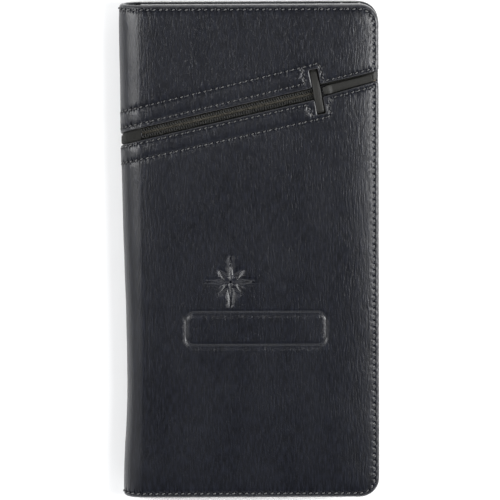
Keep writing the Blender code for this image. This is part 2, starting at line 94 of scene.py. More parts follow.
# The hide and its edges
LEATHER = 1.0
ROLL = 1.4  # how far in from a cover's edge its turned edge starts to round over
COVER_RIM = (ROLL, 7.1)  # each kind of edge has its roll and its depth; a CUT has neither
SPINE_RIM = (ROLL, 3.0)
BACK_RIM = (ROLL, 3.9)
LIP = (0.5, 1.5)
CUT = None
PILLOW = 0.55
PILLOW_REACH = 4.0
SIDE_FALL = 1.15
SIDE_FALL_REACH = 20.0
SPINE_EASE = 0.5  # the hide starts to fall away before the spine's round
SPINE_EASE_PLACE = 3.0
SPINE_EASE_REACH = 6.0
SAG = 2.5  # the spine is pressed in most here
SAG_Y = -62.0
SAG_UPPER_REACH = 80.0
SAG_LOWER_REACH = 37.0
TOP_FLARE = 0.4
TOP_FLARE_REACH = 30.0
WAVES = 6
WAVE_HEIGHT = 0.014

# Stitching
STITCH_INSET = 2.1
STITCH_PITCH = 3.0
ZIP_STITCH_PITCH = 2.8
STITCH_SHARE = 0.5
THREAD_RADIUS = 0.24
THREAD_SLANT = math.radians(16)
ROW_DEPTH = 0.08
ROW_REACH = 0.7
HOLE_DEPTH = 0.45
HOLE_REACH = 0.42

# The zip, measured along (u) and across (v) its line
ZIP_GAP = 5.6
CHANNEL_LOW = (-2.4, -0.9)  # at the window and at the opening edge
CHANNEL_HIGH = (3.7, 3.45)
COIL_PITCH = 1.15
WINDOW_LEAN = math.radians(10.6)
WINDOW_WIDTH = 4.0
WINDOW_HEIGHT = 21.3
TAPE_RISE = 0.16
TAPE_ABOVE = (4.9, 6.2, 11.2, 12.2)  # where the tape's rise starts, is full, falls and ends
TAPE_BELOW = (4.1, 5.2, 10.2, 11.2)
TAPE_REACH = 12.5

# The blind stamp: a compass rose over an empty plate
ROSE_X = -9.0
ROSE_Y = -13.8
ROSE_LONG = 11.0
ROSE_SHORT = 7.4
ROSE_WAIST = 3.4
PLATE_LEFT = -30.0
PLATE_RIGHT = 35.6
PLATE_BOTTOM = -43.7
PLATE_TOP = -28.1
PLATE_RADIUS = 4.0
GROOVE_DEPTH = 0.4
GROOVE_REACH = 0.34

# Meshes: spacing along a line, and offsets to either side of it, of the points that draw it finely
ROW_DETAIL = (0.8, (0, 0.55, -0.55, 1.15, -1.15))
STAMP_DETAIL = (0.34, (0, 0.25, -0.25, 0.55, -0.55))
PANEL_DETAIL = (0.9, (0, 0.6, -0.6))
HOLE_RING = 0.28
SHARP = math.radians(38)

Box = namedtuple("Box", "left right bottom top under over")
Arc = namedtuple("Arc", "number near far left")


# ---------------------------------------------------------------- places on the wallet


def box_of(name):
    """The sides of a CAD solid's box, in millimetres."""
    low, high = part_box(name)
    return Box(low.x / MM, high.x / MM, low.y / MM, high.y / MM, low.z / MM, high.z / MM)


def middle_of(name):
    low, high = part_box(name)
    return (low + high) / 2 / MM


def arrays(*values):
    """These values as arrays of one shape."""
    return np.broadcast_arrays(*[np.asarray(value, float) for value in values])


def zip_line():
    """Slope of the zip, and Y where its line crosses X = 0."""
    axis = JOINTS["zip_slide"]["axis"]
    slope = math.atan2(-axis[1], -axis[0])
    middle = middle_of("zip_slider_body")
    return slope, middle.y - math.tan(slope) * middle.x


ZIP_SLOPE, ZIP_Y = zip_line()


def zip_place(u, v):
    """X and Y of a place measured along and across the zip."""
    return (
        u * math.cos(ZIP_SLOPE) - v * math.sin(ZIP_SLOPE),
        ZIP_Y + u * math.sin(ZIP_SLOPE) + v * math.cos(ZIP_SLOPE),
    )


def beside_zip(x, offset):
    """Y at this X of the line that runs beside the zip, offset across it."""
    return ZIP_Y + math.tan(ZIP_SLOPE) * x + offset / math.cos(ZIP_SLOPE)


def at_zip(x, offset):
    return (x, beside_zip(x, offset))


def along_zip(x, offset):
    return (x + offset * math.sin(ZIP_SLOPE)) / math.cos(ZIP_SLOPE)


def window_middle():
    middle = middle_of("keeper_loop")
    off_centre = 0.15
    return middle.x + off_centre * math.cos(WINDOW_LEAN), middle.y + off_centre * math.sin(WINDOW_LEAN)


WINDOW_X, WINDOW_Y = window_middle()


def window_place(across, up):
    """X and Y of a place measured in the leaning window."""
    return (
        WINDOW_X + across * math.cos(WINDOW_LEAN) - up * math.sin(WINDOW_LEAN),
        WINDOW_Y + across * math.sin(WINDOW_LEAN) + up * math.cos(WINDOW_LEAN),
    )


def window_meets(side, offset):
    """Where a side of the window meets the line at this offset across the zip."""
    top = Vector(window_place(side * WINDOW_WIDTH / 2, WINDOW_HEIGHT / 2))
    bottom = Vector(window_place(side * WINDOW_WIDTH / 2, -WINDOW_HEIGHT / 2))
    over_top = top.y - beside_zip(top.x, offset)
    over_bottom = bottom.y - beside_zip(bottom.x, offset)
    return tuple(top.lerp(bottom, over_top / (over_top - over_bottom)))


def spine_sag(y):
    """How far the spine is pressed in at this Y; it flares a little at its top end."""
    reach = np.where(y > SAG_Y, SAG_UPPER_REACH, SAG_LOWER_REACH)
    pressed = SAG * np.exp(-(((y - SAG_Y) / reach) ** 2))
    return pressed - TOP_FLARE * np.exp(-(((y - TOP) / TOP_FLARE_REACH) ** 2))


def on_hide(x, y, depth):
    """Points in the wallet's X, Y and Z of places on the hide."""
    x, y, depth = arrays(x, y, depth)
    angle = np.clip((SPINE_X - x) / SPINE_RADIUS, 0, math.pi)
    reach = SPINE_RADIUS - spine_sag(y) - depth
    flat = np.maximum(x - SPINE_X, 0) + np.maximum(BACK_SEAM - x, 0)
    out_x = SPINE_X + flat - reach * np.sin(angle)
    out_z = SPINE_RADIUS + (SPINE_RADIUS - depth) * np.cos(angle)
    return np.stack([out_x, y, out_z], axis=-1)


def level(z, facing=1):
    """Places on a flat sheet whose outer side is at z; facing is 1 up or -1 down."""

    def place(x, y, depth):
        x, y, depth = arrays(x, y, depth)
        return np.stack([x, y, z - facing * depth], axis=-1)

    return place


def in_zip_frame(place):
    """The same places, drawn along and across the zip."""

    def turned(u, v, depth):
        x, y = zip_place(np.asarray(u, float), np.asarray(v, float))
        return place(x, y, depth)

    return turned


# ---------------------------------------------------------------- outlines and rows


def left_of(heading):
    return Vector((-heading.y, heading.x))


def turn_between(first, second):
    return math.atan2(first.x * second.y - first.y * second.x, first.dot(second))


def round_corner(before, corner, after, radius, steps):
    """Points round a corner, each with its direction to the left of travel."""
    here = Vector(corner)
    heading_in = (here - Vector(before)).normalized()
    heading_out = (Vector(after) - here).normalized()
    turn = turn_between(heading_in, heading_out)
    start = here - heading_in * radius * abs(math.tan(turn / 2))
    side = math.copysign(1, turn)
    centre = start + left_of(heading_in) * radius * side
    found = []
    for step in range(steps + 1):
        normal = left_of(heading_in)
        normal.rotate(Matrix.Rotation(turn * step / steps, 2))
        found.append((centre - normal * radius * side, normal))
    return found


def trace(corners):
    """A polyline through (x, y, radius) corners, with its corners rounded."""
    points = [Vector(corners[0][:2])]
    for before, (x, y, radius), after in zip(corners, corners[1:], corners[2:]):
        if radius:
            points += [p for p, _ in round_corner(before[:2], (x, y), after[:2], radius, 8)]
        else:
            points.append(Vector((x, y)))
    points.append(Vector(corners[-1][:2]))
    return points


def walk(points, pitch, start=0.0):
    """Places at an even pitch along a polyline: x, y and heading."""
    found = []
    left = start
    for first, last in zip(points, points[1:]):
        length = (last - first).length
        heading = math.atan2(last.y - first.y, last.x - first.x)
        while left < length:
            place = first.lerp(last, left / length)
            found.append((place.x, place.y, heading))
            left += pitch
        left -= length
    return found


def beside(points, spacing, offsets):
    """Places along a polyline and at these offsets to either side of it."""
    found = []
    for x, y, heading in walk(points, spacing):
        for offset in offsets:
            found.append((x - offset * math.sin(heading), y + offset * math.cos(heading)))
    return found


def distance_to(points, x, y):
    """How far each place is from a polyline."""
    nearest = np.full(np.shape(x), 1e9)
    for first, last in zip(points, points[1:]):
        span = last - first
        share = ((x - first.x) * span.x + (y - first.y) * span.y) / max(span.length_squared, 1e-9)
        share = np.clip(share, 0, 1)
        away = np.hypot(x - first.x - share * span.x, y - first.y - share * span.y)
        nearest = np.minimum(nearest, away)
    return nearest


def rectangle(left, right, bottom, top, radius, edge):
    return [
        (left, bottom, radius, edge),
        (right, bottom, radius, edge),
        (right, top, radius, edge),
        (left, top, radius, edge),
    ]


def perimeter_row(end):
    """The row of stitches round the hide's free edges, above (end 1) or below (end -1) the zip."""
    side = RIGHT - STITCH_INSET
    back_side = BACK_EDGE + STITCH_INSET
    edge = end * (TOP - STITCH_INSET)
    radius = CORNER - STITCH_INSET
    row_gap = 0.8
    channel = CHANNEL_HIGH[1] + row_gap if end > 0 else CHANNEL_LOW[1] - row_gap
    return trace([
        (back_side, 0, 0),
        (back_side, edge, radius),
        (side, edge, radius),
        (side, beside_zip(side, channel), 0),
    ])


def zip_rows():
    """The four rows beside the zip, from the outermost above it to the outermost below."""
    left = BACK_SEAM + 2.0
    right = RIGHT - 2.6
    bend = 0.6
    return [
        trace([
            (*at_zip(left, 12.1), 0),
            (*window_place(-4.9, 12.5), bend),
            (*window_place(3.3, 13.1), bend),
            (*window_place(3.6, 5.5), bend),
            (*window_place(4.9, 4.4), bend),
            (*at_zip(right, 5.1), 0),
        ]),
        trace([
            (*at_zip(left, 4.7), 0),
            (*window_place(-4.8, 4.9), bend),
            (*window_place(-5.0, 6.7), bend),
            (*window_place(-5.2, 11.3), 0),
        ]),
        trace([
            (*at_zip(left, -3.9), 0),
            (*window_place(-6.2, -5.1), bend),
            (*window_place(-4.6, -8.0), bend),
            (*window_place(-4.5, -11.6), 0),
        ]),
        trace([
            (*at_zip(left, -11.2), 0),
            (*window_place(0.8, -12.6), bend),
            (*window_place(3.8, -12.3), bend),
            (*window_place(3.9, -6.6), bend),
            (*window_place(6.4, -4.0), bend),
            (*at_zip(right, -3.1), 0),
        ]),
    ]


def back_seam_row():
    """The row down the back that joins the spine leather to the back panel."""
    x = BACK_SEAM - 2.0
    end = TOP - 2 * STITCH_INSET
    return trace([(x, end, 0), (x, -end, 0)])


def rose_lines():
    """The compass rose: an eight-pointed star and the folds of its points."""
    star = []
    folds = []
    for index in range(16):
        angle = math.pi / 2 - index * math.pi / 8
        radius = (ROSE_LONG, ROSE_WAIST, ROSE_SHORT, ROSE_WAIST)[index % 4]
        point = Vector((ROSE_X + radius * math.cos(angle), ROSE_Y + radius * math.sin(angle)))
        star.append(point)
        if index % 4 == 0:
            folds.append([Vector((ROSE_X, ROSE_Y)), point])
    return [star + star[:1], *folds]


def plate_line():
    middle = (PLATE_LEFT + PLATE_RIGHT) / 2
    return trace([
        (middle, PLATE_TOP, 0),
        (PLATE_RIGHT, PLATE_TOP, PLATE_RADIUS),
        (PLATE_RIGHT, PLATE_BOTTOM, PLATE_RADIUS),
        (PLATE_LEFT, PLATE_BOTTOM, PLATE_RADIUS),
        (PLATE_LEFT, PLATE_TOP, PLATE_RADIUS),
        (middle, PLATE_TOP, 0),
    ])


HIDE_ROWS = [
    *[(perimeter_row(end), STITCH_PITCH) for end in (1, -1)],
    *[(row, ZIP_STITCH_PITCH) for row in zip_rows()],
    (back_seam_row(), STITCH_PITCH),
]
STAMP_LINES = [*rose_lines(), plate_line()]


def stitches_of(rows):
    """Every stitch of these rows: x, y, heading and length."""
    found = []
    for points, pitch in rows:
        length = pitch * STITCH_SHARE
        starts = walk(points, pitch, pitch / 2)
        ends = walk(points, pitch, pitch / 2 + length)
        for (x0, y0, _), (x1, y1, _) in zip(starts, ends):
            heading = math.atan2(y1 - y0, x1 - x0) + THREAD_SLANT
            found.append(((x0 + x1) / 2, (y0 + y1) / 2, heading, length))
    return found


def holes_of(stitches):
    """The two needle holes of every stitch."""
    found = []
    for x, y, heading, length in stitches:
        for end in (-1, 1):
            reach = end * length / 2
            found.append((x + reach * math.cos(heading), y + reach * math.sin(heading)))
    return found


HIDE_STITCHES = stitches_of(HIDE_ROWS)
HIDE_HOLES = holes_of(HIDE_STITCHES)


def tree_of(points):
    tree = kdtree.KDTree(len(points))
    for index, point in enumerate(points):
        tree.insert((point[0], point[1], 0), index)
    tree.balance()
    return tree


HOLE_TREE = tree_of(HIDE_HOLES)


# ---------------------------------------------------------------- the hide's surface


def edge_distance(x, y):
    """How far a place on a cover is from the cover's free edges."""
    across = x - (RIGHT - CORNER)
    up = np.abs(y) - (TOP - CORNER)
    outside = np.hypot(np.maximum(across, 0), np.maximum(up, 0))
    return CORNER - outside - np.minimum(np.maximum(across, up), 0)


def smooth(value, start, end):
    share = np.clip((value - start) / (end - start), 0, 1)
    return share * share * (3 - 2 * share)


def band(value, rise, full, fall, end):
    """Rises smoothly from 0 to 1 and falls back to 0, at these four values."""
    return smooth(value, rise, full) * smooth(-value, -end, -fall)


def wavy():
    """A gentle unevenness of the hide, from a few seeded waves."""
    draw = random.Random(7)
    waves = []
    for _ in range(WAVES):
        angle = draw.uniform(0, math.pi)
        length = draw.uniform(18, 55)
        waves.append((math.cos(angle) / length, math.sin(angle) / length, draw.uniform(0, 2 * math.pi)))

    def height(x, y):
        total = np.zeros(np.shape(x))
        for a, b, phase in waves:
            total += np.sin(2 * math.pi * (a * x + b * y) + phase)
        return WAVE_HEIGHT * total

    return height


WAVY = wavy()


def hole_share(x, y):
    """How far each place lies in a needle hole, from 0 beside it to 1 at its middle."""
    share = np.zeros(len(x))
    for index, (px, py) in enumerate(zip(x, y)):
        away = HOLE_TREE.find((px, py, 0))[2]
        if away < 3 * HOLE_REACH:
            share[index] = math.exp(-((away / HOLE_REACH) ** 2))
    return share


def relief(x, y):
    """How far the grain side lies below the plain hide at these places."""
    x = np.asarray(x, float)
    y = np.asarray(y, float)
    cover = np.where(x < BACK_SEAM, SPINE_X + BACK_SEAM - x, x)
    edge = edge_distance(cover, y)
    drop = PILLOW * np.exp(-np.maximum(edge, 0) / PILLOW_REACH)
    drop += SIDE_FALL * np.clip(1 - (RIGHT - cover) / SIDE_FALL_REACH, 0, 1) ** 2
    for past_edge in (SPINE_X - SPINE_EASE_PLACE - x, x - BACK_SEAM - SPINE_EASE_PLACE):
        drop += SPINE_EASE * np.exp(-((past_edge / SPINE_EASE_REACH) ** 2))
    drop += WAVY(x, y)
    for points, _ in HIDE_ROWS:
        drop += ROW_DEPTH * np.exp(-((distance_to(points, x, y) / ROW_REACH) ** 2))
    across = (y - beside_zip(x, 0)) * math.cos(ZIP_SLOPE)
    on_front = smooth(WINDOW_X - 4 - x, 0, 2) * smooth(x, BACK_SEAM, BACK_SEAM + 8)  # left of the window
    raised = band(across, *TAPE_ABOVE) + band(-across, *TAPE_BELOW)
    drop -= TAPE_RISE * raised * on_front
    if np.max(x) > SPINE_X:
        for points in STAMP_LINES:
            drop += GROOVE_DEPTH * np.exp(-((distance_to(points, x, y) / GROOVE_REACH) ** 2))
    return drop + HOLE_DEPTH * hole_share(x, y)


def even(x, y):
    return np.zeros(np.shape(x))


def hide_details():
    """Places where the hide's mesh has to be fine: stitch rows, needle holes and the stamp."""
    places = []
    for points, _ in HIDE_ROWS:
        places += beside(points, *ROW_DETAIL)
    for points in STAMP_LINES:
        places += beside(points, *STAMP_DETAIL)
    for x, y in HIDE_HOLES:
        places.append((x, y))
        for index in range(6):
            angle = index * math.pi / 3
            places.append((x + HOLE_RING * math.cos(angle), y + HOLE_RING * math.sin(angle)))
    return np.array(places)


HIDE_DETAILS = hide_details()


# ---------------------------------------------------------------- meshes


def outline_samples(corners, step):
    """Samples round an outline: (point, inward direction, roll, depth). A cut's own samples have no roll."""
    count = len(corners)
    rounds = []
    for index, (x, y, radius, edge) in enumerate(corners):
        before = corners[index - 1]
        after = corners[(index + 1) % count]
        here = Vector((x, y))
        heading_in = (here - Vector(before[:2])).normalized()
        heading_out = (Vector(after[:2]) - here).normalized()
        if edge is CUT:
            inward = heading_out / heading_out.dot(left_of(heading_in))
            rounds.append([(here, inward, *before[3])])
        elif before[3] is CUT:
            inward = -heading_in / -heading_in.dot(left_of(heading_out))
            rounds.append([(here, inward, *edge)])
        else:
            turn = abs(turn_between(heading_in, heading_out))
            steps = max(4, round(turn * radius / min(step)))
            found = round_corner(before[:2], (x, y), after[:2], radius, steps)
            for k, (point, normal) in enumerate(found):
                share = float(smooth(np.array(k / steps), 0, 1))
                sizes = [a + (b - a) * share for a, b in zip(before[3], edge)]
                found[k] = (point, normal, *sizes)
            rounds.append(found)
    samples = []
    for index, corner in enumerate(corners):
        edge = corner[3]
        samples += rounds[index]
        last = rounds[index][-1]
        following = rounds[(index + 1) % count][0]
        if edge is CUT:
            first, end = (s[0] + s[1] * s[2] for s in (last, following))
            normal = None
            sizes = (0, 0)
        else:
            first, end = last[0], following[0]
            normal = left_of((end - first).normalized())
            sizes = edge
        span = end - first
        pieces = max(2, round(math.hypot(span.x / step[0], span.y / step[1])))
        samples += [(first.lerp(end, k / pieces), normal, *sizes) for k in range(1, pieces)]
    return samples


def fill(rim, grid, details):
    """Points and triangles that fill a rim, finer where there are details."""
    closest = 0.16
    rim_gap = 0.3
    lattice_gap = 0.62  # as a share of the grid
    scale = np.array(grid)
    low = rim.min(0)
    high = rim.max(0)
    rows = np.arange(low[1], high[1], grid[1])
    columns = np.arange(low[0], high[0], grid[0])
    lattice = np.array([(x + (k % 2) * grid[0] / 2, y) for k, y in enumerate(rows) for x in columns])
    inside = np.all((details > low) & (details < high), axis=1) if len(details) else []
    near = details[inside] if len(details) else np.zeros((0, 2))
    if len(near):
        near = near[np.unique(np.round(near / closest), axis=0, return_index=True)[1]]
        rim_tree = tree_of(rim)
        near = np.array([p for p in near if rim_tree.find((*p, 0))[2] > rim_gap]).reshape(-1, 2)
    taken = tree_of(np.vstack([rim, near]) / scale)
    lattice = np.array([p for p in lattice if taken.find((*(p / scale), 0))[2] > lattice_gap]).reshape(-1, 2)
    places = np.vstack([rim, near, lattice])
    edges = [(k, (k + 1) % len(rim)) for k in range(len(rim))]
    found = delaunay_2d_cdt([Vector(p) for p in places / scale], edges, [], 1, 1e-7)
    points = np.array([tuple(p) for p in found[0]]) * scale
    output_of = {origin: k for k, origins in enumerate(found[3]) for origin in origins}
    used = sorted({k for face in found[2] for k in face} | {output_of[k] for k in range(len(rim))})
    renumber = {k: n for n, k in enumerate(used)}
    faces = [[renumber[k] for k in face] for face in found[2]]
    return points[used], faces, [renumber[output_of[k]] for k in range(len(rim))]


def ring_profile(roll, depth):
    """The section of an edge after its first point: (inset, depth, how far it follows the relief)."""
    steps = 5
    rings = []
    for step in range(1, steps + 1):
        angle = math.pi / 2 * step / steps
        rings.append((roll * (1 - math.sin(angle)), roll * (1 - math.cos(angle)), 1))
    ease = 0.3 * roll
    return rings + [(0, depth - ease, 0), (ease, depth, 0), ((ease + roll) / 2, depth, 0)]


def solid_sheet(
    name, corners, place, thickness, material, grid=(2, 2), step=(1, 1), drop=even, details=(), pits=even
):
    """A closed sheet with rounded edges. Corners are (x, y, radius, edge), anticlockwise."""
    samples = outline_samples(corners, step)
    rim = np.array([tuple(p + n * roll) if n else tuple(p) for p, n, roll, _ in samples])
    flat, triangles, rim_index = fill(rim, grid, np.array(details).reshape(-1, 2))
    count = len(flat)
    sunk = drop(flat[:, 0], flat[:, 1])
    points = [place(flat[:, 0], flat[:, 1], sunk), place(flat[:, 0], flat[:, 1], sunk + thickness)]
    # Each point's share of the painted highlight on the turned edges: 0 on the top and bottom faces, 1 on the
    # rounded rings of an edge
    painted_edge_highlight = [np.zeros(2 * count)]
    total = 2 * count
    columns = []
    for (point, normal, roll, depth), top in zip(samples, rim_index):
        if normal is None:
            columns.append([top, top + count])
            continue
        profile = np.array(ring_profile(roll, depth))
        ring = np.array(point)[None] + np.array(normal)[None] * profile[:, :1]
        points.append(place(ring[:, 0], ring[:, 1], profile[:, 1] + profile[:, 2] * sunk[top]))
        painted_edge_highlight.append(profile[:, 2])
        columns.append([top, *range(total, total + len(profile)), top + count])
        total += len(profile)
    faces = triangles + [[k + count for k in reversed(face)] for face in triangles]
    for first, second in zip(columns, columns[1:] + columns[:1]):
        if len(first) == len(second) > 2:
            faces += [[a, b, d, c] for a, b, c, d in zip(first, first[1:], second, second[1:])]
            continue
        faces.append([first[0], first[-1], second[-1], second[0]])
        faces += [column for column in (first, second) if len(column) > 2]
    pitted = np.zeros(total)
    pitted[:count] = pits(flat[:, 0], flat[:, 1])
    shares = {"painted_edge_highlight": np.concatenate(painted_edge_highlight), "pitted": pitted}
    return make_mesh(name, np.vstack(points), faces, material, shares)


def make_mesh(name, points, faces, material, shares=None):
    """A mesh with these shares, one value for each point, that its material reads."""
    mesh = bpy.data.meshes.new(name)
    mesh.from_pydata((points * MM).tolist(), [], faces)
    turned = bmesh.new()
    turned.from_mesh(mesh)
    bmesh.ops.recalc_face_normals(turned, faces=turned.faces)
    turned.to_mesh(mesh)
    turned.free()
    mesh.shade_smooth()
    mesh.set_sharp_from_angle(angle=SHARP)
    for label, values in (shares or {}).items():
        mesh.attributes.new(label, "FLOAT", "POINT").data.foreach_set("value", values.astype(np.float32))
    mesh.materials.append(material)
    obj = bpy.data.objects.new(name, mesh)
    bpy.context.scene.collection.objects.link(obj)
    return obj


def unit(vectors):
    return vectors / np.linalg.norm(vectors, axis=-1, keepdims=True)


def thread(name, stitches, place, drop):
    """Stitches as short arched lengths of thread whose ends go into the leather."""
    share = np.array([-1, -0.82, -0.4, 0, 0.4, 0.82, 1])
    crest = 0.62 * THREAD_RADIUS
    dive = 1.9 * THREAD_RADIUS
    rise = crest - dive * share**4
    width = THREAD_RADIUS * np.array([0.35, 0.8, 1, 1, 1, 0.8, 0.35])
    sides = 8
    x, y, heading, length = np.array(stitches).T
    centre = drop(x, y)
    along = length[:, None] / 2 * share
    px = x[:, None] + np.cos(heading)[:, None] * along
    py = y[:, None] + np.sin(heading)[:, None] * along
    depth = np.minimum(centre, ROW_DEPTH)[:, None] - rise
    middle = place(px, py, depth)
    up = unit(place(px, py, depth - 1) - middle)
    forward = unit(middle[:, -1] - middle[:, 0])[:, None]
    side = unit(np.cross(forward, up))
    turns = np.arange(sides) * 2 * math.pi / sides
    outward = np.cos(turns)[:, None] * side[:, :, None] + np.sin(turns)[:, None] * up[:, :, None]
    ring = middle[:, :, None] + width[None, :, None, None] * outward
    faces = []
    for stitch in range(len(x)):
        start = stitch * len(share) * sides
        for k in range(len(share) - 1):
            for s in range(sides):
                a = start + k * sides + s
                b = start + k * sides + (s + 1) % sides
                faces.append([a, b, b + sides, a + sides])
        last = start + (len(share) - 1) * sides
        faces.append([start + s for s in reversed(range(sides))])
        faces.append([last + s for s in range(sides)])
    return make_mesh(name, ring.reshape(-1, 3), faces, black_thread)


def tube(name, points, radius, material, closed=False):
    """A round tube along these points."""
    curve = bpy.data.curves.new(name, "CURVE")
    curve.dimensions = "3D"
    curve.bevel_depth = radius * MM
    curve.bevel_resolution = 2
    curve.use_fill_caps = not closed
    spline = curve.splines.new("POLY")
    spline.points.add(len(points) - 1)
    for slot, point in zip(spline.points, points):
        slot.co = (*(Vector(point) * MM), 1)
    spline.use_cyclic_u = closed
    guide = bpy.data.objects.new(name, curve)
    bpy.context.scene.collection.objects.link(guide)
    bpy.context.view_layer.update()
    mesh = bpy.data.meshes.new_from_object(guide.evaluated_get(bpy.context.evaluated_depsgraph_get()))
    bpy.data.objects.remove(guide)
    weld_distance = 0.001 * MM
    welded = bmesh.new()
    welded.from_mesh(mesh)
    bmesh.ops.remove_doubles(welded, verts=welded.verts, dist=weld_distance)
    bmesh.ops.recalc_face_normals(welded, faces=welded.faces)
    welded.to_mesh(mesh)
    welded.free()
    mesh.shade_smooth()
    mesh.set_sharp_from_angle(angle=math.radians(60))
    mesh.materials.clear()
    mesh.materials.append(material)
    obj = bpy.data.objects.new(name, mesh)
    bpy.context.scene.collection.objects.link(obj)
    return obj


def joined(name, objects):
    """One object from several."""
    with bpy.context.temp_override(active_object=objects[0], selected_editable_objects=objects):
        bpy.ops.object.join()
    objects[0].name = name
    objects[0].data.name = name
    return objects[0]


# ---------------------------------------------------------------- materials


def node(tree, kind, inputs=(), **settings):
    made = tree.nodes.new(kind)
    for key, value in settings.items():
        setattr(made, key, value)
    for key, value in dict(inputs).items():
        if isinstance(value, bpy.types.NodeSocket):
            tree.links.new(value, made.inputs[key])
        else:
            made.inputs[key].default_value = value
    return made


def rotated(tree, place, angle):
    return node(tree, "ShaderNodeMapping", {"Vector": place, "Rotation": (0, 0, angle)}).outputs["Vector"]


def bands(tree, place, pitch, distortion, direction="X", **inputs):
    """Bands at this pitch in millimetres."""
    scale = math.pi / 10 / (pitch * MM)
    wave = {"Vector": place, "Scale": scale, "Distortion": distortion, **inputs}
    return node(tree, "ShaderNodeTexWave", wave, bands_direction=direction).outputs["Fac"]


def base_material(name, roughness, metallic=0.0):
    material = bpy.data.materials.new(name)
    material.use_nodes = True
    tree = material.node_tree
    shader = tree.nodes["Principled BSDF"]
    shader.inputs["Roughness"].default_value = roughness
    shader.inputs["Metallic"].default_value = metallic
    place = node(tree, "ShaderNodeTexCoord").outputs["Object"]
    return material, tree, shader, place


def scaled(tree, place, per_metre):
    return node(tree, "ShaderNodeMapping", {"Vector": place, "Scale": per_metre}).outputs["Vector"]


def noise(tree, place, per_metre, detail=3.0):
    vector = scaled(tree, place, per_metre)
    return node(tree, "ShaderNodeTexNoise", {"Vector": vector, "Scale": 1.0, "Detail": detail}).outputs["Fac"]


def spread(tree, value, low, high, floor=0.35, ceiling=0.65, **settings):
    """Maps floor..ceiling, which is a noise's usual range, to low..high."""
    inputs = {"Value": value, "From Min": floor, "From Max": ceiling, "To Min": low, "To Max": high}
    return node(tree, "ShaderNodeMapRange", inputs, **settings).outputs["Result"]


def two_tone(tree, value, first, last, start=0.3, end=0.7):
    """Runs from the first colour to the last as the value runs from start to end."""
    ramp = node(tree, "ShaderNodeValToRGB", {"Fac": value})
    for element, position, color in zip(ramp.color_ramp.elements, (start, end), (first, last)):
        element.position = position
        element.color = (*color, 1)
    return ramp.outputs["Color"]


def mixed(tree, factor, first, second):
    made = node(tree, "ShaderNodeMix", {"Factor": factor, "A": first, "B": second}, data_type="RGBA")
    return made.outputs["Result"]


def combined(tree, operation, *values):
    return node(tree, "ShaderNodeMath", dict(enumerate(values)), operation=operation).outputs["Value"]


def attribute(tree, name):
    return node(tree, "ShaderNodeAttribute", attribute_name=name).outputs["Fac"]


def add_bumps(tree, shader, bumps):
    """Bumps are (height, strength, distance in millimetres), one on another."""
    normal = None
    for height, strength, distance in bumps:
        inputs = {"Height": height, "Strength": strength, "Distance": distance * MM}
        if normal:
            inputs["Normal"] = normal
        normal = node(tree, "ShaderNodeBump", inputs).outputs["Normal"]
    tree.links.new(normal, shader.inputs["Normal"])


def leather(name, dark, light, edge_highlight_color, rough_low, rough_high, grain):
    """Smooth leather: fine straight grain, pores, uneven gloss and a painted highlight on its turned edges.
    """
    gloss, pit_gloss = 0.42, 0.01
    material, tree, shader, place = base_material(name, rough_high)
    streaks = noise(tree, place, (1500, 210, 1500), 5)
    pores = {"Vector": scaled(tree, place, (1900, 1200, 1900)), "Scale": 1.0, "Randomness": 1.0}
    cells = node(tree, "ShaderNodeTexVoronoi", pores).outputs["Distance"]
    clouds = noise(tree, place, (60, 22, 60), 4)
    paler = 1 + 2.2 * grain
    streak_color = (*[paler * part for part in light], 1)
    streak_share = spread(tree, streaks, 0, 0.7, 0.42, 0.72)
    mottle = mixed(tree, streak_share, two_tone(tree, clouds, dark, light), streak_color)
    patches = spread(tree, noise(tree, place, (420, 420, 420)), 0, 1)
    # Painted highlight: the turned edges are mixed, unevenly by patches of noise, towards a paler colour
    # where a rounded edge would catch the light
    edge_highlight_share = combined(tree, "MULTIPLY", attribute(tree, "painted_edge_highlight"), patches)
    tree.links.new(mixed(tree, edge_highlight_share, mottle, (*edge_highlight_color, 1)), shader.inputs["Base Color"])
    tree.links.new(spread(tree, clouds, rough_low, rough_high), shader.inputs["Roughness"])
    shine = spread(tree, attribute(tree, "pitted"), gloss, pit_gloss, 0.05, 0.6)
    tree.links.new(shine, shader.inputs["Specular IOR Level"])
    add_bumps(tree, shader, [(streaks, 0.85 * grain, 0.16), (cells, 0.35 * grain, 0.04)])
    return material


def cloth(name, dark, light, thread_pitch, lean=0.0):
    """A plain weave of this pitch in millimetres, with uneven threads."""
    material, tree, shader, place = base_material(name, 0.88)
    turned = rotated(tree, place, lean)
    waves = [bands(tree, turned, thread_pitch, 0.6, Detail=1.0, direction=way) for way in ("X", "Y")]
    weave = combined(tree, "MAXIMUM", *waves)
    slubs = spread(tree, noise(tree, turned, (900, 260, 900), 3), 0.55, 0.9)
    shade = combined(tree, "MULTIPLY", weave, slubs)
    tree.links.new(two_tone(tree, shade, dark, light), shader.inputs["Base Color"])
    shader.inputs["Sheen Weight"].default_value = 0.06
    shader.inputs["Specular IOR Level"].default_value = 0.3
    add_bumps(tree, shader, [(weave, 0.7, 0.08), (slubs, 0.3, 0.05)])
    return material


def moulded(name, dark, light, roughness, metallic=0.0, scratches=0.1):
    """Nylon, plated metal, film or board: slight colour and gloss variation and fine scratches."""
    material, tree, shader, place = base_material(name, roughness, metallic)
    clouds = noise(tree, place, (300, 300, 300), 4)
    fine = noise(tree, place, (2500, 700, 2500), 4)
    tree.links.new(two_tone(tree, clouds, dark, light), shader.inputs["Base Color"])
    rough = spread(tree, fine, roughness * 0.8, min(1, roughness * 1.25))
    tree.links.new(rough, shader.inputs["Roughness"])
    add_bumps(tree, shader, [(fine, scratches, 0.03)])
    return material


def sewing_thread(name, dark, light):
    """Twisted thread: the bands of its plies run across its length."""
    material, tree, shader, place = base_material(name, 0.5)
    plies = bands(tree, rotated(tree, place, 0.6), 0.3, 0.4)
    tree.links.new(two_tone(tree, plies, dark, light), shader.inputs["Base Color"])
    shader.inputs["Sheen Weight"].default_value = 0.3
    add_bumps(tree, shader, [(plies, 0.6, 0.05)])
    return material


def set_input(material, name, value):
    material.node_tree.nodes["Principled BSDF"].inputs[name].default_value = value
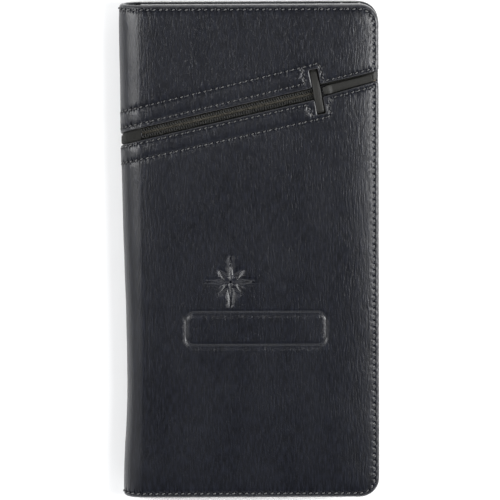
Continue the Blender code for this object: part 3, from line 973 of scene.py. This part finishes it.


# Each leather's third colour is the painted highlight of its turned edges
black_leather = leather(
    "black_leather", (0.0024, 0.0028, 0.0046), (0.0034, 0.0039, 0.0062), (0.022, 0.022, 0.024),
    rough_low=0.29, rough_high=0.325, grain=1.0,
)
pocket_leather = leather(
    "pocket_leather", (0.0085, 0.0086, 0.0082), (0.0125, 0.0125, 0.0118), (0.03, 0.03, 0.028),
    rough_low=0.42, rough_high=0.5, grain=0.35,
)
lining_cloth = cloth("lining_cloth", (0.075, 0.068, 0.055), (0.17, 0.158, 0.13), 0.45)
zip_cloth = cloth("zip_cloth", (0.0025, 0.0026, 0.0021), (0.0080, 0.0080, 0.0064), 0.6, ZIP_SLOPE)
coil_nylon = moulded("coil_nylon", (0.0035, 0.0036, 0.0027), (0.0080, 0.0081, 0.0063), 0.4)
set_input(coil_nylon, "Specular IOR Level", 0.35)
black_metal = moulded("black_metal", (0.03, 0.03, 0.032), (0.06, 0.06, 0.062), 0.3, metallic=1.0)
fibre_board = moulded("fibre_board", (0.12, 0.095, 0.07), (0.20, 0.165, 0.125), 0.9, scratches=0.6)
clear_film = moulded("clear_film", (0.75, 0.76, 0.76), (0.85, 0.86, 0.86), 0.12, scratches=0.05)
set_input(clear_film, "Alpha", 0.22)
strap_leather = leather(
    "strap_leather", (0.0022, 0.0022, 0.0014), (0.0038, 0.0037, 0.0026), (0.009, 0.0087, 0.0068),
    rough_low=0.45, rough_high=0.55, grain=0.6,
)
black_thread = sewing_thread("black_thread", (0.018, 0.018, 0.0175), (0.075, 0.075, 0.072))


# ---------------------------------------------------------------- the hide


def finish_piece(obj, body, slot, *nodes):
    """The piece rides on its body and stands in for these CAD solids."""
    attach(obj, body)
    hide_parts(*nodes)


def front_corners(end):
    """The front leather above (end 1) or below (end -1) the zip, with its part of the window cut out."""
    zip_side = end * ZIP_GAP / 2
    channel_start, channel_end = CHANNEL_HIGH if end > 0 else CHANNEL_LOW
    edge = end * TOP
    corners = [
        (*at_zip(SPINE_X, zip_side), 0, LIP),
        (*window_meets(-1, zip_side), 0.9, LIP),
        (*window_place(-WINDOW_WIDTH / 2, end * WINDOW_HEIGHT / 2), 0.5, LIP),
        (*window_place(WINDOW_WIDTH / 2, end * WINDOW_HEIGHT / 2), 0.5, LIP),
        (*window_meets(1, channel_start), 0.9, LIP),
        (*at_zip(RIGHT, channel_end), 1.5, COVER_RIM),
        (RIGHT, edge, CORNER, COVER_RIM),
        (SPINE_X, edge, 0, CUT),
    ]
    return corners if end > 0 else mirrored_order(corners)


def mirrored_order(corners):
    """The same outline run the other way round, each corner still naming the edge that leaves it."""
    edges = [corner[3] for corner in corners]
    turned = []
    for index in range(len(corners) - 1, -1, -1):
        x, y, radius, _ = corners[index]
        turned.append((x, y, radius, edges[index - 1]))
    return turned


def hide_piece(name, corners, grid, step):
    return solid_sheet(
        name, corners, on_hide, LEATHER, black_leather,
        grid=grid, step=step, drop=relief, details=HIDE_DETAILS, pits=hole_share,
    )


def front_hide():
    for label, end in (("upper", 1), ("lower", -1)):
        piece = hide_piece(f"front_{label}_hide", front_corners(end), (1.7, 1.7), (0.8, 0.8))
        finish_piece(piece, "front_cover", "black_leather", f"front_{label}_leather")


def back_hide():
    corners = [
        (BACK_EDGE, -TOP, CORNER, BACK_RIM),
        (BACK_SEAM, -TOP, 0, CUT),
        (BACK_SEAM, TOP, 0, BACK_RIM),
        (BACK_EDGE, TOP, CORNER, BACK_RIM),
    ]
    piece = hide_piece("back_hide", corners, (1.9, 1.9), (0.9, 0.9))
    finish_piece(piece, "back_cover", "black_leather", "back_leather")


ARC = math.pi / 4 * SPINE_RADIUS
ARCS = [
    Arc(4, "spine_3", "front_cover", SPINE_X - ARC),
    Arc(3, "spine_2", "spine_3", SPINE_X - 2 * ARC),
    Arc(2, "spine_1", "spine_2", SPINE_X - 3 * ARC),
    Arc(1, "back_cover", "spine_1", SPINE_X - 4 * ARC),
]


def bend_arc(obj, arc, kind=None):
    """A piece of one eighth of the spine's round, with its placement baked into its mesh.

    It stands in for the near body's CAD solid of this kind, where that body is one of the spine's.
    """
    start, end = on_hide([arc.left, arc.left + ARC], [0, 0], [0, 0]) * MM
    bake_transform(obj)
    if kind and arc.near != "back_cover":
        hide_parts(f"{arc.near}_{kind}")


def spine_hide():
    for arc in ARCS:
        right = arc.left + ARC
        for label, end in (("upper", 1), ("lower", -1)):
            side = end * ZIP_GAP / 2
            corners = [
                (*at_zip(arc.left, side), 0, LIP),
                (*at_zip(right, side), 0, CUT),
                (right, end * TOP, 0, SPINE_RIM),
                (arc.left, end * TOP, 0, CUT),
            ]
            if end < 0:
                corners = mirrored_order(corners)
            piece = hide_piece(f"spine_hide_{arc.number}_{label}", corners, (0.5, 1.8), (0.5, 1.2))
            bend_arc(piece, arc, f"leather_{label}")


def hide_stitching():
    """The thread of every row, one piece for each part of the hide that it lies on."""
    groups = {}
    for stitch in HIDE_STITCHES:
        x = stitch[0]
        if x > SPINE_X:
            key = "front"
        elif x < BACK_SEAM:
            key = "back"
        else:
            key = ARCS[min(int((SPINE_X - x) / ARC), len(ARCS) - 1)]
        groups.setdefault(key, []).append(stitch)
    for key, stitches in groups.items():
        if key in ("front", "back"):
            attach(thread(f"stitching_{key}", stitches, on_hide, relief), f"{key}_cover")
        else:
            bend_arc(thread(f"stitching_spine_{key.number}", stitches, on_hide, relief), key)


# ---------------------------------------------------------------- the zip


def front_tapes():
    """The zip's two woven tapes, under the leather on either side of its coil."""
    inner = 2.5
    for label, end in (("upper", 1), ("lower", -1)):
        node_name = f"zip_tape_{label}"
        box = box_of(node_name)
        near, far = sorted((end * inner, end * TAPE_REACH))
        edge = (0.15, box.over - box.under)
        corners = [
            (along_zip(box.left, near), near, 0.4, edge),
            (along_zip(box.right, near), near, 0.4, edge),
            (along_zip(box.right, far), far, 0.4, edge),
            (along_zip(box.left, far), far, 0.4, edge),
        ]
        piece = solid_sheet(
            f"woven_tape_{label}", corners, in_zip_frame(level(box.over)), edge[1], zip_cloth,
            grid=(3, 1.5), step=(2, 1),
        )
        finish_piece(piece, "front_cover", "zip_cloth", node_name)
        length = along_zip(box.right, 0) - along_zip(box.left, 0)


def coil():
    """Two rows of nylon coil. Each turn crosses straight over on top and moves on underneath."""
    start, end = -51.2, 38.6
    inner = 0.5
    middle_z = 17.27
    half_height = 0.36
    wire_radius = 0.3
    steps = 16
    turns = int((end - start) / COIL_PITCH) - 1
    for label, side, outer in (("upper", 1, 2.3), ("lower", -1, 2.75)):
        points = []
        for k in range(turns * steps):
            turn, share = divmod(k, steps)
            angle = 2 * math.pi * share / steps
            flat_sine = math.copysign(abs(math.sin(angle)) ** 0.5, math.sin(angle))
            v = side * ((inner + outer) / 2 - (outer - inner) / 2 * math.cos(angle))
            moved = turn + max(0, share / steps * 2 - 1)
            x, y = zip_place(start + moved * COIL_PITCH, v)
            points.append((x, y, middle_z + half_height * flat_sine))
        piece = tube(f"coil_{label}", points, wire_radius, coil_nylon)
        finish_piece(piece, "front_cover", "coil_nylon", f"zip_coil_{label}")


def spine_tape_place(x, y, depth):
    """The tape's plain end lies under the leather and swells up into the gap between its lips."""
    under_leather = 1.72
    swelling = 1.5
    across = np.abs(y - beside_zip(np.asarray(x, float), 0)) * math.cos(ZIP_SLOPE)
    swell = swelling * smooth(-across, -2.7, -1.6) * smooth(SPINE_X - x, 0.1, 1.6)
    return on_hide(x, y, under_leather - swell + depth)


def spine_tapes():
    """The zip tape's plain end, which runs round the spine under its leather."""
    gap = 0.04
    edge = (0.1, 0.45)
    for arc in ARCS:
        first, last = arc.left + gap, arc.left + ARC - gap
        corners = [
            (*at_zip(first, -TAPE_REACH), 0.3, edge),
            (*at_zip(last, -TAPE_REACH), 0.3, edge),
            (*at_zip(last, TAPE_REACH), 0.3, edge),
            (*at_zip(first, TAPE_REACH), 0.3, edge),
        ]
        piece = solid_sheet(
            f"spine_tape_{arc.number}", corners, spine_tape_place, edge[1], zip_cloth,
            grid=(0.7, 0.7), step=(0.7, 0.7),
        )
        bend_arc(piece, arc, "zip_tape")


# ---------------------------------------------------------------- the window, its keeper and the pull


def keeper():
    """The leather strip in the window: it dips at its top end and its ends run under the front leather."""
    box = box_of("keeper_loop")
    half = (box.top - box.bottom) / 2 / math.cos(WINDOW_LEAN)
    left, right = -1.95, 1.6
    below_front = 0.45
    deepest = 1.35
    tab = WINDOW_HEIGHT / 2 + 0.6

    def place(across, up, depth):
        across, up, depth = arrays(across, up, depth)
        crown = 0.16 * ((across + 0.25) / 1.7) ** 2
        top_dip = 0.9 * smooth(up, 2.0, WINDOW_HEIGHT / 2 - 0.4)
        ends = 1.25 * smooth(np.abs(up), WINDOW_HEIGHT / 2 - 1.3, tab)
        x, y = window_place(across - 0.35 * (up / half) ** 2, up)
        z = THICKNESS - below_front - crown - np.minimum(top_dip + ends, deepest) - depth
        return np.stack([x, y, z], axis=-1)

    edge = (0.22, 0.45)
    corners = rectangle(left, right, -half, half, 0.6, edge)
    piece = solid_sheet("keeper", corners, place, edge[1], strap_leather, grid=(0.35, 0.6), step=(0.3, 0.5))
    finish_piece(piece, "front_cover", "pocket_leather", "keeper_loop")


def pull_tab():
    """The strap on the slider's link: its neck wraps the link and it widens towards the opening edge."""
    top = box_of("pull_strap").over
    start, waist, end = 35.45, 38.4, 58.9

    def place(u, v, depth):
        u, v, depth = arrays(u, v, depth)
        crown = 0.2 * ((v - 0.5) / 1.9) ** 2
        neck = 0.45 * smooth(-u, -waist - 1.5, -waist + 0.5)
        x, y = zip_place(u, v)
        return np.stack([x, y, top - crown + neck - depth], axis=-1)

    edge = (0.2, 0.62)
    neck_edge = (0.16, 0.4)
    corners = [
        (start, -1.2, 0.3, neck_edge),
        (waist, -1.9, 2.0, edge),
        (end, -0.7, 0.5, edge),
        (end, 2.5, 0.5, edge),
        (waist, 2.4, 2.0, neck_edge),
        (start, 1.8, 0.3, neck_edge),
    ]
    piece = solid_sheet("pull_tab", corners, place, 0.4, strap_leather, grid=(0.7, 0.35), step=(0.5, 0.3))
    finish_piece(piece, "zip_pull", "pocket_leather", "pull_strap")


def link():
    """The wire link that joins the strap to the slider."""
    box = box_of("pull_link")
    middle_z = (box.under + box.over) / 2
    radius = 0.16
    corners = rectangle(35.7, 38.6, -0.57, 0.57, 0.3, CUT)
    points = []
    for k, (u, v, bend, _) in enumerate(corners):
        for point, _ in round_corner(corners[k - 1][:2], (u, v), corners[(k + 1) % 4][:2], bend, 4):
            points.append((*zip_place(point.x, point.y), middle_z))
    piece = tube("wire_link", points, radius, black_metal, closed=True)
    finish_piece(piece, "zip_pull", "black_metal", "pull_link")


def slider():
    """The slider: two shaped plates with guiding lips, joined by a post, and the arch that holds the link."""
    start, end = 31.3, 39.3
    nose, tail = 2.95, 2.3
    lip = (0.28, 0.66)
    side = (0.05, 1.9)
    outline = [
        (start, -tail, 0.8, lip),
        (end - 2.5, -nose, 1.5, lip),
        (end, -nose + 0.5, 0.9, lip),
        (end, nose - 0.5, 0.9, lip),
        (end - 2.5, nose, 1.5, lip),
        (start, tail, 0.8, lip),
    ]
    parts = []
    for label, z, facing in (("top", 18.3, 1), ("bottom", 16.0, -1)):
        plane = in_zip_frame(level(z, facing))
        parts.append(solid_sheet(
            f"slider_{label}", outline, plane, 0.4, black_metal, grid=(1.2, 1.0), step=(0.4, 0.4)
        ))
    post = rectangle(35.6, 38.6, -0.17, 0.17, 0.12, side)
    plane = in_zip_frame(level(18.1))
    parts.append(solid_sheet("slider_post", post, plane, side[1], black_metal, step=(0.3, 0.3)))
    arch_middle, arch_reach = 35.7, 1.15
    arch_base, arch_height = 18.15, 0.88
    arch = []
    for angle in np.linspace(0.02, math.pi - 0.02, 17):
        x, y = zip_place(arch_middle + arch_reach * math.cos(angle), 0)
        arch.append((x, y, arch_base + arch_height * math.sin(angle) ** 0.7))
    parts.append(tube("slider_arch", arch, 0.2, black_metal))
    finish_piece(joined("slider", parts), "zip_slider", "black_metal", "zip_slider_body")


def stops():
    """The crimped metal stops at the two ends of the coil."""
    half_length, half_width = 0.7, 2.4
    for name in ("zip_top_stop", "zip_bottom_stop"):
        box = box_of(name)
        middle = middle_of(name)
        u = middle.x * math.cos(ZIP_SLOPE) + (middle.y - ZIP_Y) * math.sin(ZIP_SLOPE)
        edge = (0.3, box.over - box.under)
        corners = rectangle(u - half_length, u + half_length, -half_width, half_width, 0.35, edge)
        piece = solid_sheet(
            name.replace("zip_", "metal_"), corners, in_zip_frame(level(box.over)), edge[1], black_metal,
            grid=(0.5, 0.5), step=(0.25, 0.5),
        )
        finish_piece(piece, "front_cover", "black_metal", name)


def channel_floor():
    """The leather strip under the pull. Its end turns down over the board's edge."""
    box = box_of("channel_backing")
    edge = (0.15, box.over - box.under)
    start = 41.6
    bend = 1.6
    flap = 2.6
    corner_x = RIGHT - 0.75 - bend
    end = corner_x + bend * math.pi / 2 + flap
    neck_start, neck_end = corner_x - 1.6, corner_x - 1.2
    low_wide, high_wide = -4.4, 7.0
    low_side, high_side = CHANNEL_LOW[1] + 0.35, CHANNEL_HIGH[1] - 0.35

    def place(x, y, depth):
        x, y, depth = arrays(x, y, depth)
        angle = np.clip((x - corner_x) / bend, 0, math.pi / 2)
        down = np.maximum(x - corner_x - bend * math.pi / 2, 0)
        out_x = np.minimum(x, corner_x) + (bend - depth) * np.sin(angle)
        z = box.over - bend + (bend - depth) * np.cos(angle) - down
        return np.stack([out_x, y, z], axis=-1)

    corners = [
        (*zip_place(start, low_wide), 0.5, edge),
        (*at_zip(neck_start, low_wide), 0.5, edge),
        (*at_zip(neck_end, low_side), 0.2, edge),
        (*at_zip(end, low_side), 0.4, edge),
        (*at_zip(end, high_side), 0.4, edge),
        (*at_zip(neck_end, high_side), 0.2, edge),
        (*at_zip(neck_start, high_wide), 0.5, edge),
        (*zip_place(start, high_wide), 0.5, edge),
    ]
    piece = solid_sheet(
        "channel_floor", corners, place, edge[1], strap_leather, grid=(0.8, 0.8), step=(0.4, 0.4)
    )
    finish_piece(piece, "front_cover", "pocket_leather", "channel_backing")


# ---------------------------------------------------------------- the inside


def seam(box, inset):
    """Stitch rows round a pocket, inside its edges: one round three sides, and one along its mouth."""
    left, right, bottom, top = box.left + inset, box.right - inset, box.bottom + inset, box.top - inset
    row = [(left, top, 0), (left, bottom, 1), (right, bottom, 1), (right, top, 0)]
    return [(trace(row), STITCH_PITCH), (trace([row[0], row[3]]), STITCH_PITCH)]


def stitched_drop(rows):
    """The relief of a plain panel: a shallow valley along each stitch row."""
    valley_depth = 0.12
    valley_reach = 0.7

    def drop(x, y):
        total = np.zeros(np.shape(x))
        for points, _ in rows:
            total += valley_depth * np.exp(-((distance_to(points, x, y) / valley_reach) ** 2))
        return total

    return drop


def sewn_sheet(name, corners, place, thickness, rows, body, grid, step):
    """A sheet of pocket leather with its stitch rows."""
    drop = stitched_drop(rows)
    details = [point for row, _ in rows for point in beside(row, *PANEL_DETAIL)]
    piece = solid_sheet(
        name, corners, place, thickness, pocket_leather, grid=grid, step=step, drop=drop, details=details
    )
    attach(thread(f"{name}_stitching", stitches_of(rows), place, drop), body)
    return piece


def lining(name, node_name, body, facing, edge, corners):
    box = box_of(node_name)
    place = level(box.over if facing > 0 else box.under, facing)
    piece = solid_sheet(name, corners, place, edge[1], lining_cloth, grid=(3, 3), step=(1.2, 1.2))
    finish_piece(piece, body, "lining_cloth", node_name)
    return piece


def linings():
    """The woven linings of both covers, cut to the covers' shape less their turned edges."""
    radius = CORNER - 1.3
    for side, facing in (("front", -1), ("back", 1)):
        name = f"{side}_lining"
        box = box_of(name)
        edge = (0.2, box.over - box.under)
        corners = [
            (box.left, -box.top, 0.5, edge),
            (box.right, -box.top, radius, edge),
            (box.right, box.top, radius, edge),
            (box.left, box.top, 0.5, edge),
        ]
        piece = lining(f"woven_{name}", name, f"{side}_cover", facing, edge, corners)
    name = "zip_pocket_liner"
    box = box_of(name)
    edge = (0.1, box.over - box.under)
    corners = rectangle(box.left, box.right, box.bottom, box.top, 4.0, edge)
    piece = lining("pocket_bag", name, "front_cover", 1, edge, corners)


def spine_linings():
    """The lining round the inside of the spine, shaped to its round."""
    under_hide = 2.1
    gap = 0.15
    half = TOP - 1.3
    edge = (0.12, 0.5)
    for arc in ARCS:
        corners = rectangle(arc.left + gap, arc.left + ARC - gap, -half, half, 0.2, edge)
        piece = solid_sheet(
            f"spine_lining_{arc.number}", corners, lambda x, y, depth: on_hide(x, y, depth + under_hide),
            edge[1], lining_cloth, grid=(0.9, 3), step=(0.8, 2),
        )
        bend_arc(piece, arc, "liner")


def pocket(name, node_name, body, facing, edge):
    """A slip pocket, made from its own CAD solid's box."""
    box = box_of(node_name)
    place = level(box.over if facing > 0 else box.under, facing)
    corners = rectangle(box.left, box.right, box.bottom, box.top, 1.5, edge)
    thickness = min(edge[1], box.over - box.under)
    piece = sewn_sheet(name, corners, place, thickness, seam(box, 1.6), body, (3, 3), (1.2, 1.2))
    finish_piece(piece, body, "pocket_leather", node_name)


def pockets():
    """The slip pockets of both covers."""
    pocket("slip_pocket", "ticket_pocket", "back_cover", 1, (0.2, 0.6))
    for number in range(1, 5):
        pocket(f"card_pocket_{number}", f"card_slot_{number}", "front_cover", -1, (0.18, 0.5))


def passport_pocket():
    """The gusseted pocket: its walls fold down from its panel, and its mouth has a thumb notch."""
    box = box_of("passport_pocket")
    wall = (0.55, box.over - box.under)
    mouth = (0.2, 0.7)
    middle = (box.left + box.right) / 2
    notch = 11.0
    dip = 5.5
    corners = [
        (box.left, box.bottom, 1.2, wall),
        (box.right, box.bottom, 1.2, wall),
        (box.right, box.top, 1.2, mouth),
        (middle + notch, box.top, 1.5, mouth),
        (middle + notch, box.top - dip, 4.5, mouth),
        (middle - notch, box.top - dip, 4.5, mouth),
        (middle - notch, box.top, 1.5, mouth),
        (box.left, box.top, 1.2, wall),
    ]
    sides = seam(box, 1.9)[:1]
    piece = sewn_sheet(
        "gusset_pocket", corners, level(box.over), mouth[1], sides, "back_cover", (3, 3), (1.0, 1.0)
    )
    finish_piece(piece, "back_cover", "pocket_leather", "passport_pocket")


def pen_holder():
    """The pen loop: a strip of leather bent round into a flat-sided tube, its ends meeting underneath."""
    box = box_of("pen_loop")
    radius = 3.0
    middle = (box.left + box.right) / 2
    path = trace([
        (middle, box.under, 0),
        (box.right, box.under, radius),
        (box.right, box.over, radius),
        (box.left, box.over, radius),
        (box.left, box.under, radius),
        (middle, box.under, 0),
    ])
    line = np.array([tuple(point) for point in path])
    along = np.concatenate([[0], np.cumsum(np.hypot(*np.diff(line, axis=0).T))])
    total = along[-1]

    def place(s, y, depth):
        s, y, depth = arrays(s, y, depth)
        x = np.interp(s, along, line[:, 0])
        z = np.interp(s, along, line[:, 1])
        step = 0.4
        dx = np.interp(s + step, along, line[:, 0]) - np.interp(s - step, along, line[:, 0])
        dz = np.interp(s + step, along, line[:, 1]) - np.interp(s - step, along, line[:, 1])
        length = np.hypot(dx, dz)
        return np.stack([x - dz / length * depth, y, z + dx / length * depth], axis=-1)

    gap = 0.3
    edge = (0.2, 0.7)
    corners = rectangle(gap, total - gap, box.bottom, box.top, 0.4, edge)
    rows = []
    for y in (box.bottom + 1.5, box.top - 1.5):
        rows.append((trace([(1.2, y, 0), (total - 1.2, y, 0)]), STITCH_PITCH))
    piece = sewn_sheet("pen_holder", corners, place, edge[1], rows, "back_cover", (0.8, 2), (0.6, 1.2))
    finish_piece(piece, "back_cover", "pocket_leather", "pen_loop")


def id_window():
    """The identity card pocket: a stitched leather frame with a clear film behind it."""
    box = box_of("id_window_frame")
    border = 9.0
    edge = (0.2, box.over - box.under)
    plane = level(box.under, -1)
    middle = (box.left + box.right) / 2
    low, high = box.bottom + border, box.top - border
    halves = []
    for side, outside in ((-1, box.left), (1, box.right)):
        inside = outside - side * border
        corners = [
            (middle, box.bottom, 0, edge),
            (outside, box.bottom, 1.5, edge),
            (outside, box.top, 1.5, edge),
            (middle, box.top, 0, CUT),
            (middle, high, 0, edge),
            (inside, high, 3.0, edge),
            (inside, low, 3.0, edge),
            (middle, low, 0, CUT),
        ]
        if side < 0:
            corners = mirrored_order(corners)
        halves.append(solid_sheet(
            f"id_frame_half_{side}", corners, plane, edge[1], pocket_leather, grid=(3, 3), step=(1.2, 1.2)
        ))
    finish_piece(joined("id_frame", halves), "front_cover", "pocket_leather", "id_window_frame")
    inset = 1.6
    near, far = box.left + border - inset, box.right - border + inset
    under, over = low - inset, high + inset
    hole = [(near, under, 0), (far, under, 1), (far, over, 1), (near, over, 1), (near, under, 0)]
    rows = [*seam(box, inset), (trace(hole), STITCH_PITCH)]
    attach(thread("id_frame_stitching", stitches_of(rows), plane, even), "front_cover")
    box = box_of("id_window_film")
    edge = (0.08, box.over - box.under)
    corners = rectangle(box.left, box.right, box.bottom, box.top, 1.0, edge)
    plane = level(box.under, -1)
    film = solid_sheet("id_film", corners, plane, edge[1], clear_film, grid=(4, 4), step=(2, 2))
    finish_piece(film, "front_cover", "clear_film", "id_window_film")


def boards():
    """The stiffening boards keep their CAD shape, which the leather and linings cover."""
    for name in ("front_board", "back_board"):
        board = frame["nodes"][name]
        board.data.materials.clear()
        board.data.materials.append(fibre_board)


# ---------------------------------------------------------------- camera, light and floor


def softbox(name, place, size, watts):
    """A rectangular light that faces the origin."""
    light = bpy.data.lights.new(name, "AREA")
    light.shape = "RECTANGLE"
    light.size, light.size_y = size
    light.energy = watts
    obj = bpy.data.objects.new(name, light)
    obj.location = place
    obj.rotation_mode = "QUATERNION"
    obj.rotation_quaternion = (-obj.location).to_track_quat("-Z", "Y")
    bpy.context.scene.collection.objects.link(obj)


def studio():
    """Light from low all round, nearly none from overhead, and a softbox high on either side."""
    world = bpy.data.worlds.new("studio")
    world.use_nodes = True
    tree = world.node_tree
    background = tree.nodes["Background"]
    background.inputs["Strength"].default_value = 2.3
    direction = node(tree, "ShaderNodeTexCoord").outputs["Generated"]
    parts = node(tree, "ShaderNodeSeparateXYZ", {"Vector": direction}).outputs
    height = two_tone(tree, parts["Z"], (0.97, 0.98, 1.0), (0.006, 0.006, 0.0065), 0.5, 0.72)
    sideways = combined(tree, "ABSOLUTE", parts["X"])
    ends = spread(tree, sideways, 1.0, 0.3, 0.45, 0.9, interpolation_type="SMOOTHSTEP")
    tree.links.new(mixed(tree, ends, (0, 0, 0, 1), height), background.inputs["Color"])
    bpy.context.scene.world = world
    softbox("left_softbox", (-0.75, 0.15, 0.75), (0.3, 1.0), 9)
    softbox("right_softbox", (0.77, 0.05, 0.64), (0.25, 1.0), 14)
    bpy.context.scene.view_settings.view_transform = "Standard"


def floor():
    """Pale paper, which the wallet lies on."""
    half = 6.0
    gap = 0.0002
    mesh = bpy.data.meshes.new("floor")
    points = [(-half, -half, 0), (half, -half, 0), (half, half, 0), (-half, half, 0)]
    mesh.from_pydata(points, [], [(0, 1, 2, 3)])
    material, tree, shader, place = base_material("floor_paper", 0.9)
    paper = two_tone(tree, noise(tree, place, (3, 3, 3)), (0.93, 0.93, 0.93), (0.96, 0.96, 0.96))
    tree.links.new(paper, shader.inputs["Base Color"])
    mesh.materials.append(material)
    obj = bpy.data.objects.new("floor", mesh)
    obj.location.z = cad_low.z - gap
    bpy.context.scene.collection.objects.link(obj)


def camera():
    """Above the front cover, a little towards its top end, so that the top edge shows."""
    distance = 3.0
    tilt = math.radians(7.6)
    roll = math.radians(-0.25)
    centre = Vector((0.0001, 0.0013, THICKNESS * MM))
    back = Vector((0, math.sin(tilt), math.cos(tilt)))
    data = bpy.data.cameras.new("camera")
    data.lens = 462.5
    data.sensor_width = 36
    data.clip_end = 20  # metres
    obj = bpy.data.objects.new("camera", data)
    obj.location = centre + back * distance
    right = Vector((1, 0, 0))
    up = back.cross(right)
    turn = Matrix((right, up, back)).transposed() @ Matrix.Rotation(roll, 3, "Z")
    obj.rotation_mode = "QUATERNION"
    obj.rotation_quaternion = turn.to_quaternion()
    bpy.context.scene.collection.objects.link(obj)
    bpy.context.scene.camera = obj


front_hide()
spine_hide()
back_hide()
hide_stitching()
front_tapes()
coil()
spine_tapes()
stops()
slider()
link()
keeper()
pull_tab()
channel_floor()
linings()
spine_linings()
pockets()
passport_pocket()
pen_holder()
id_window()
boards()
studio()
floor()
camera()
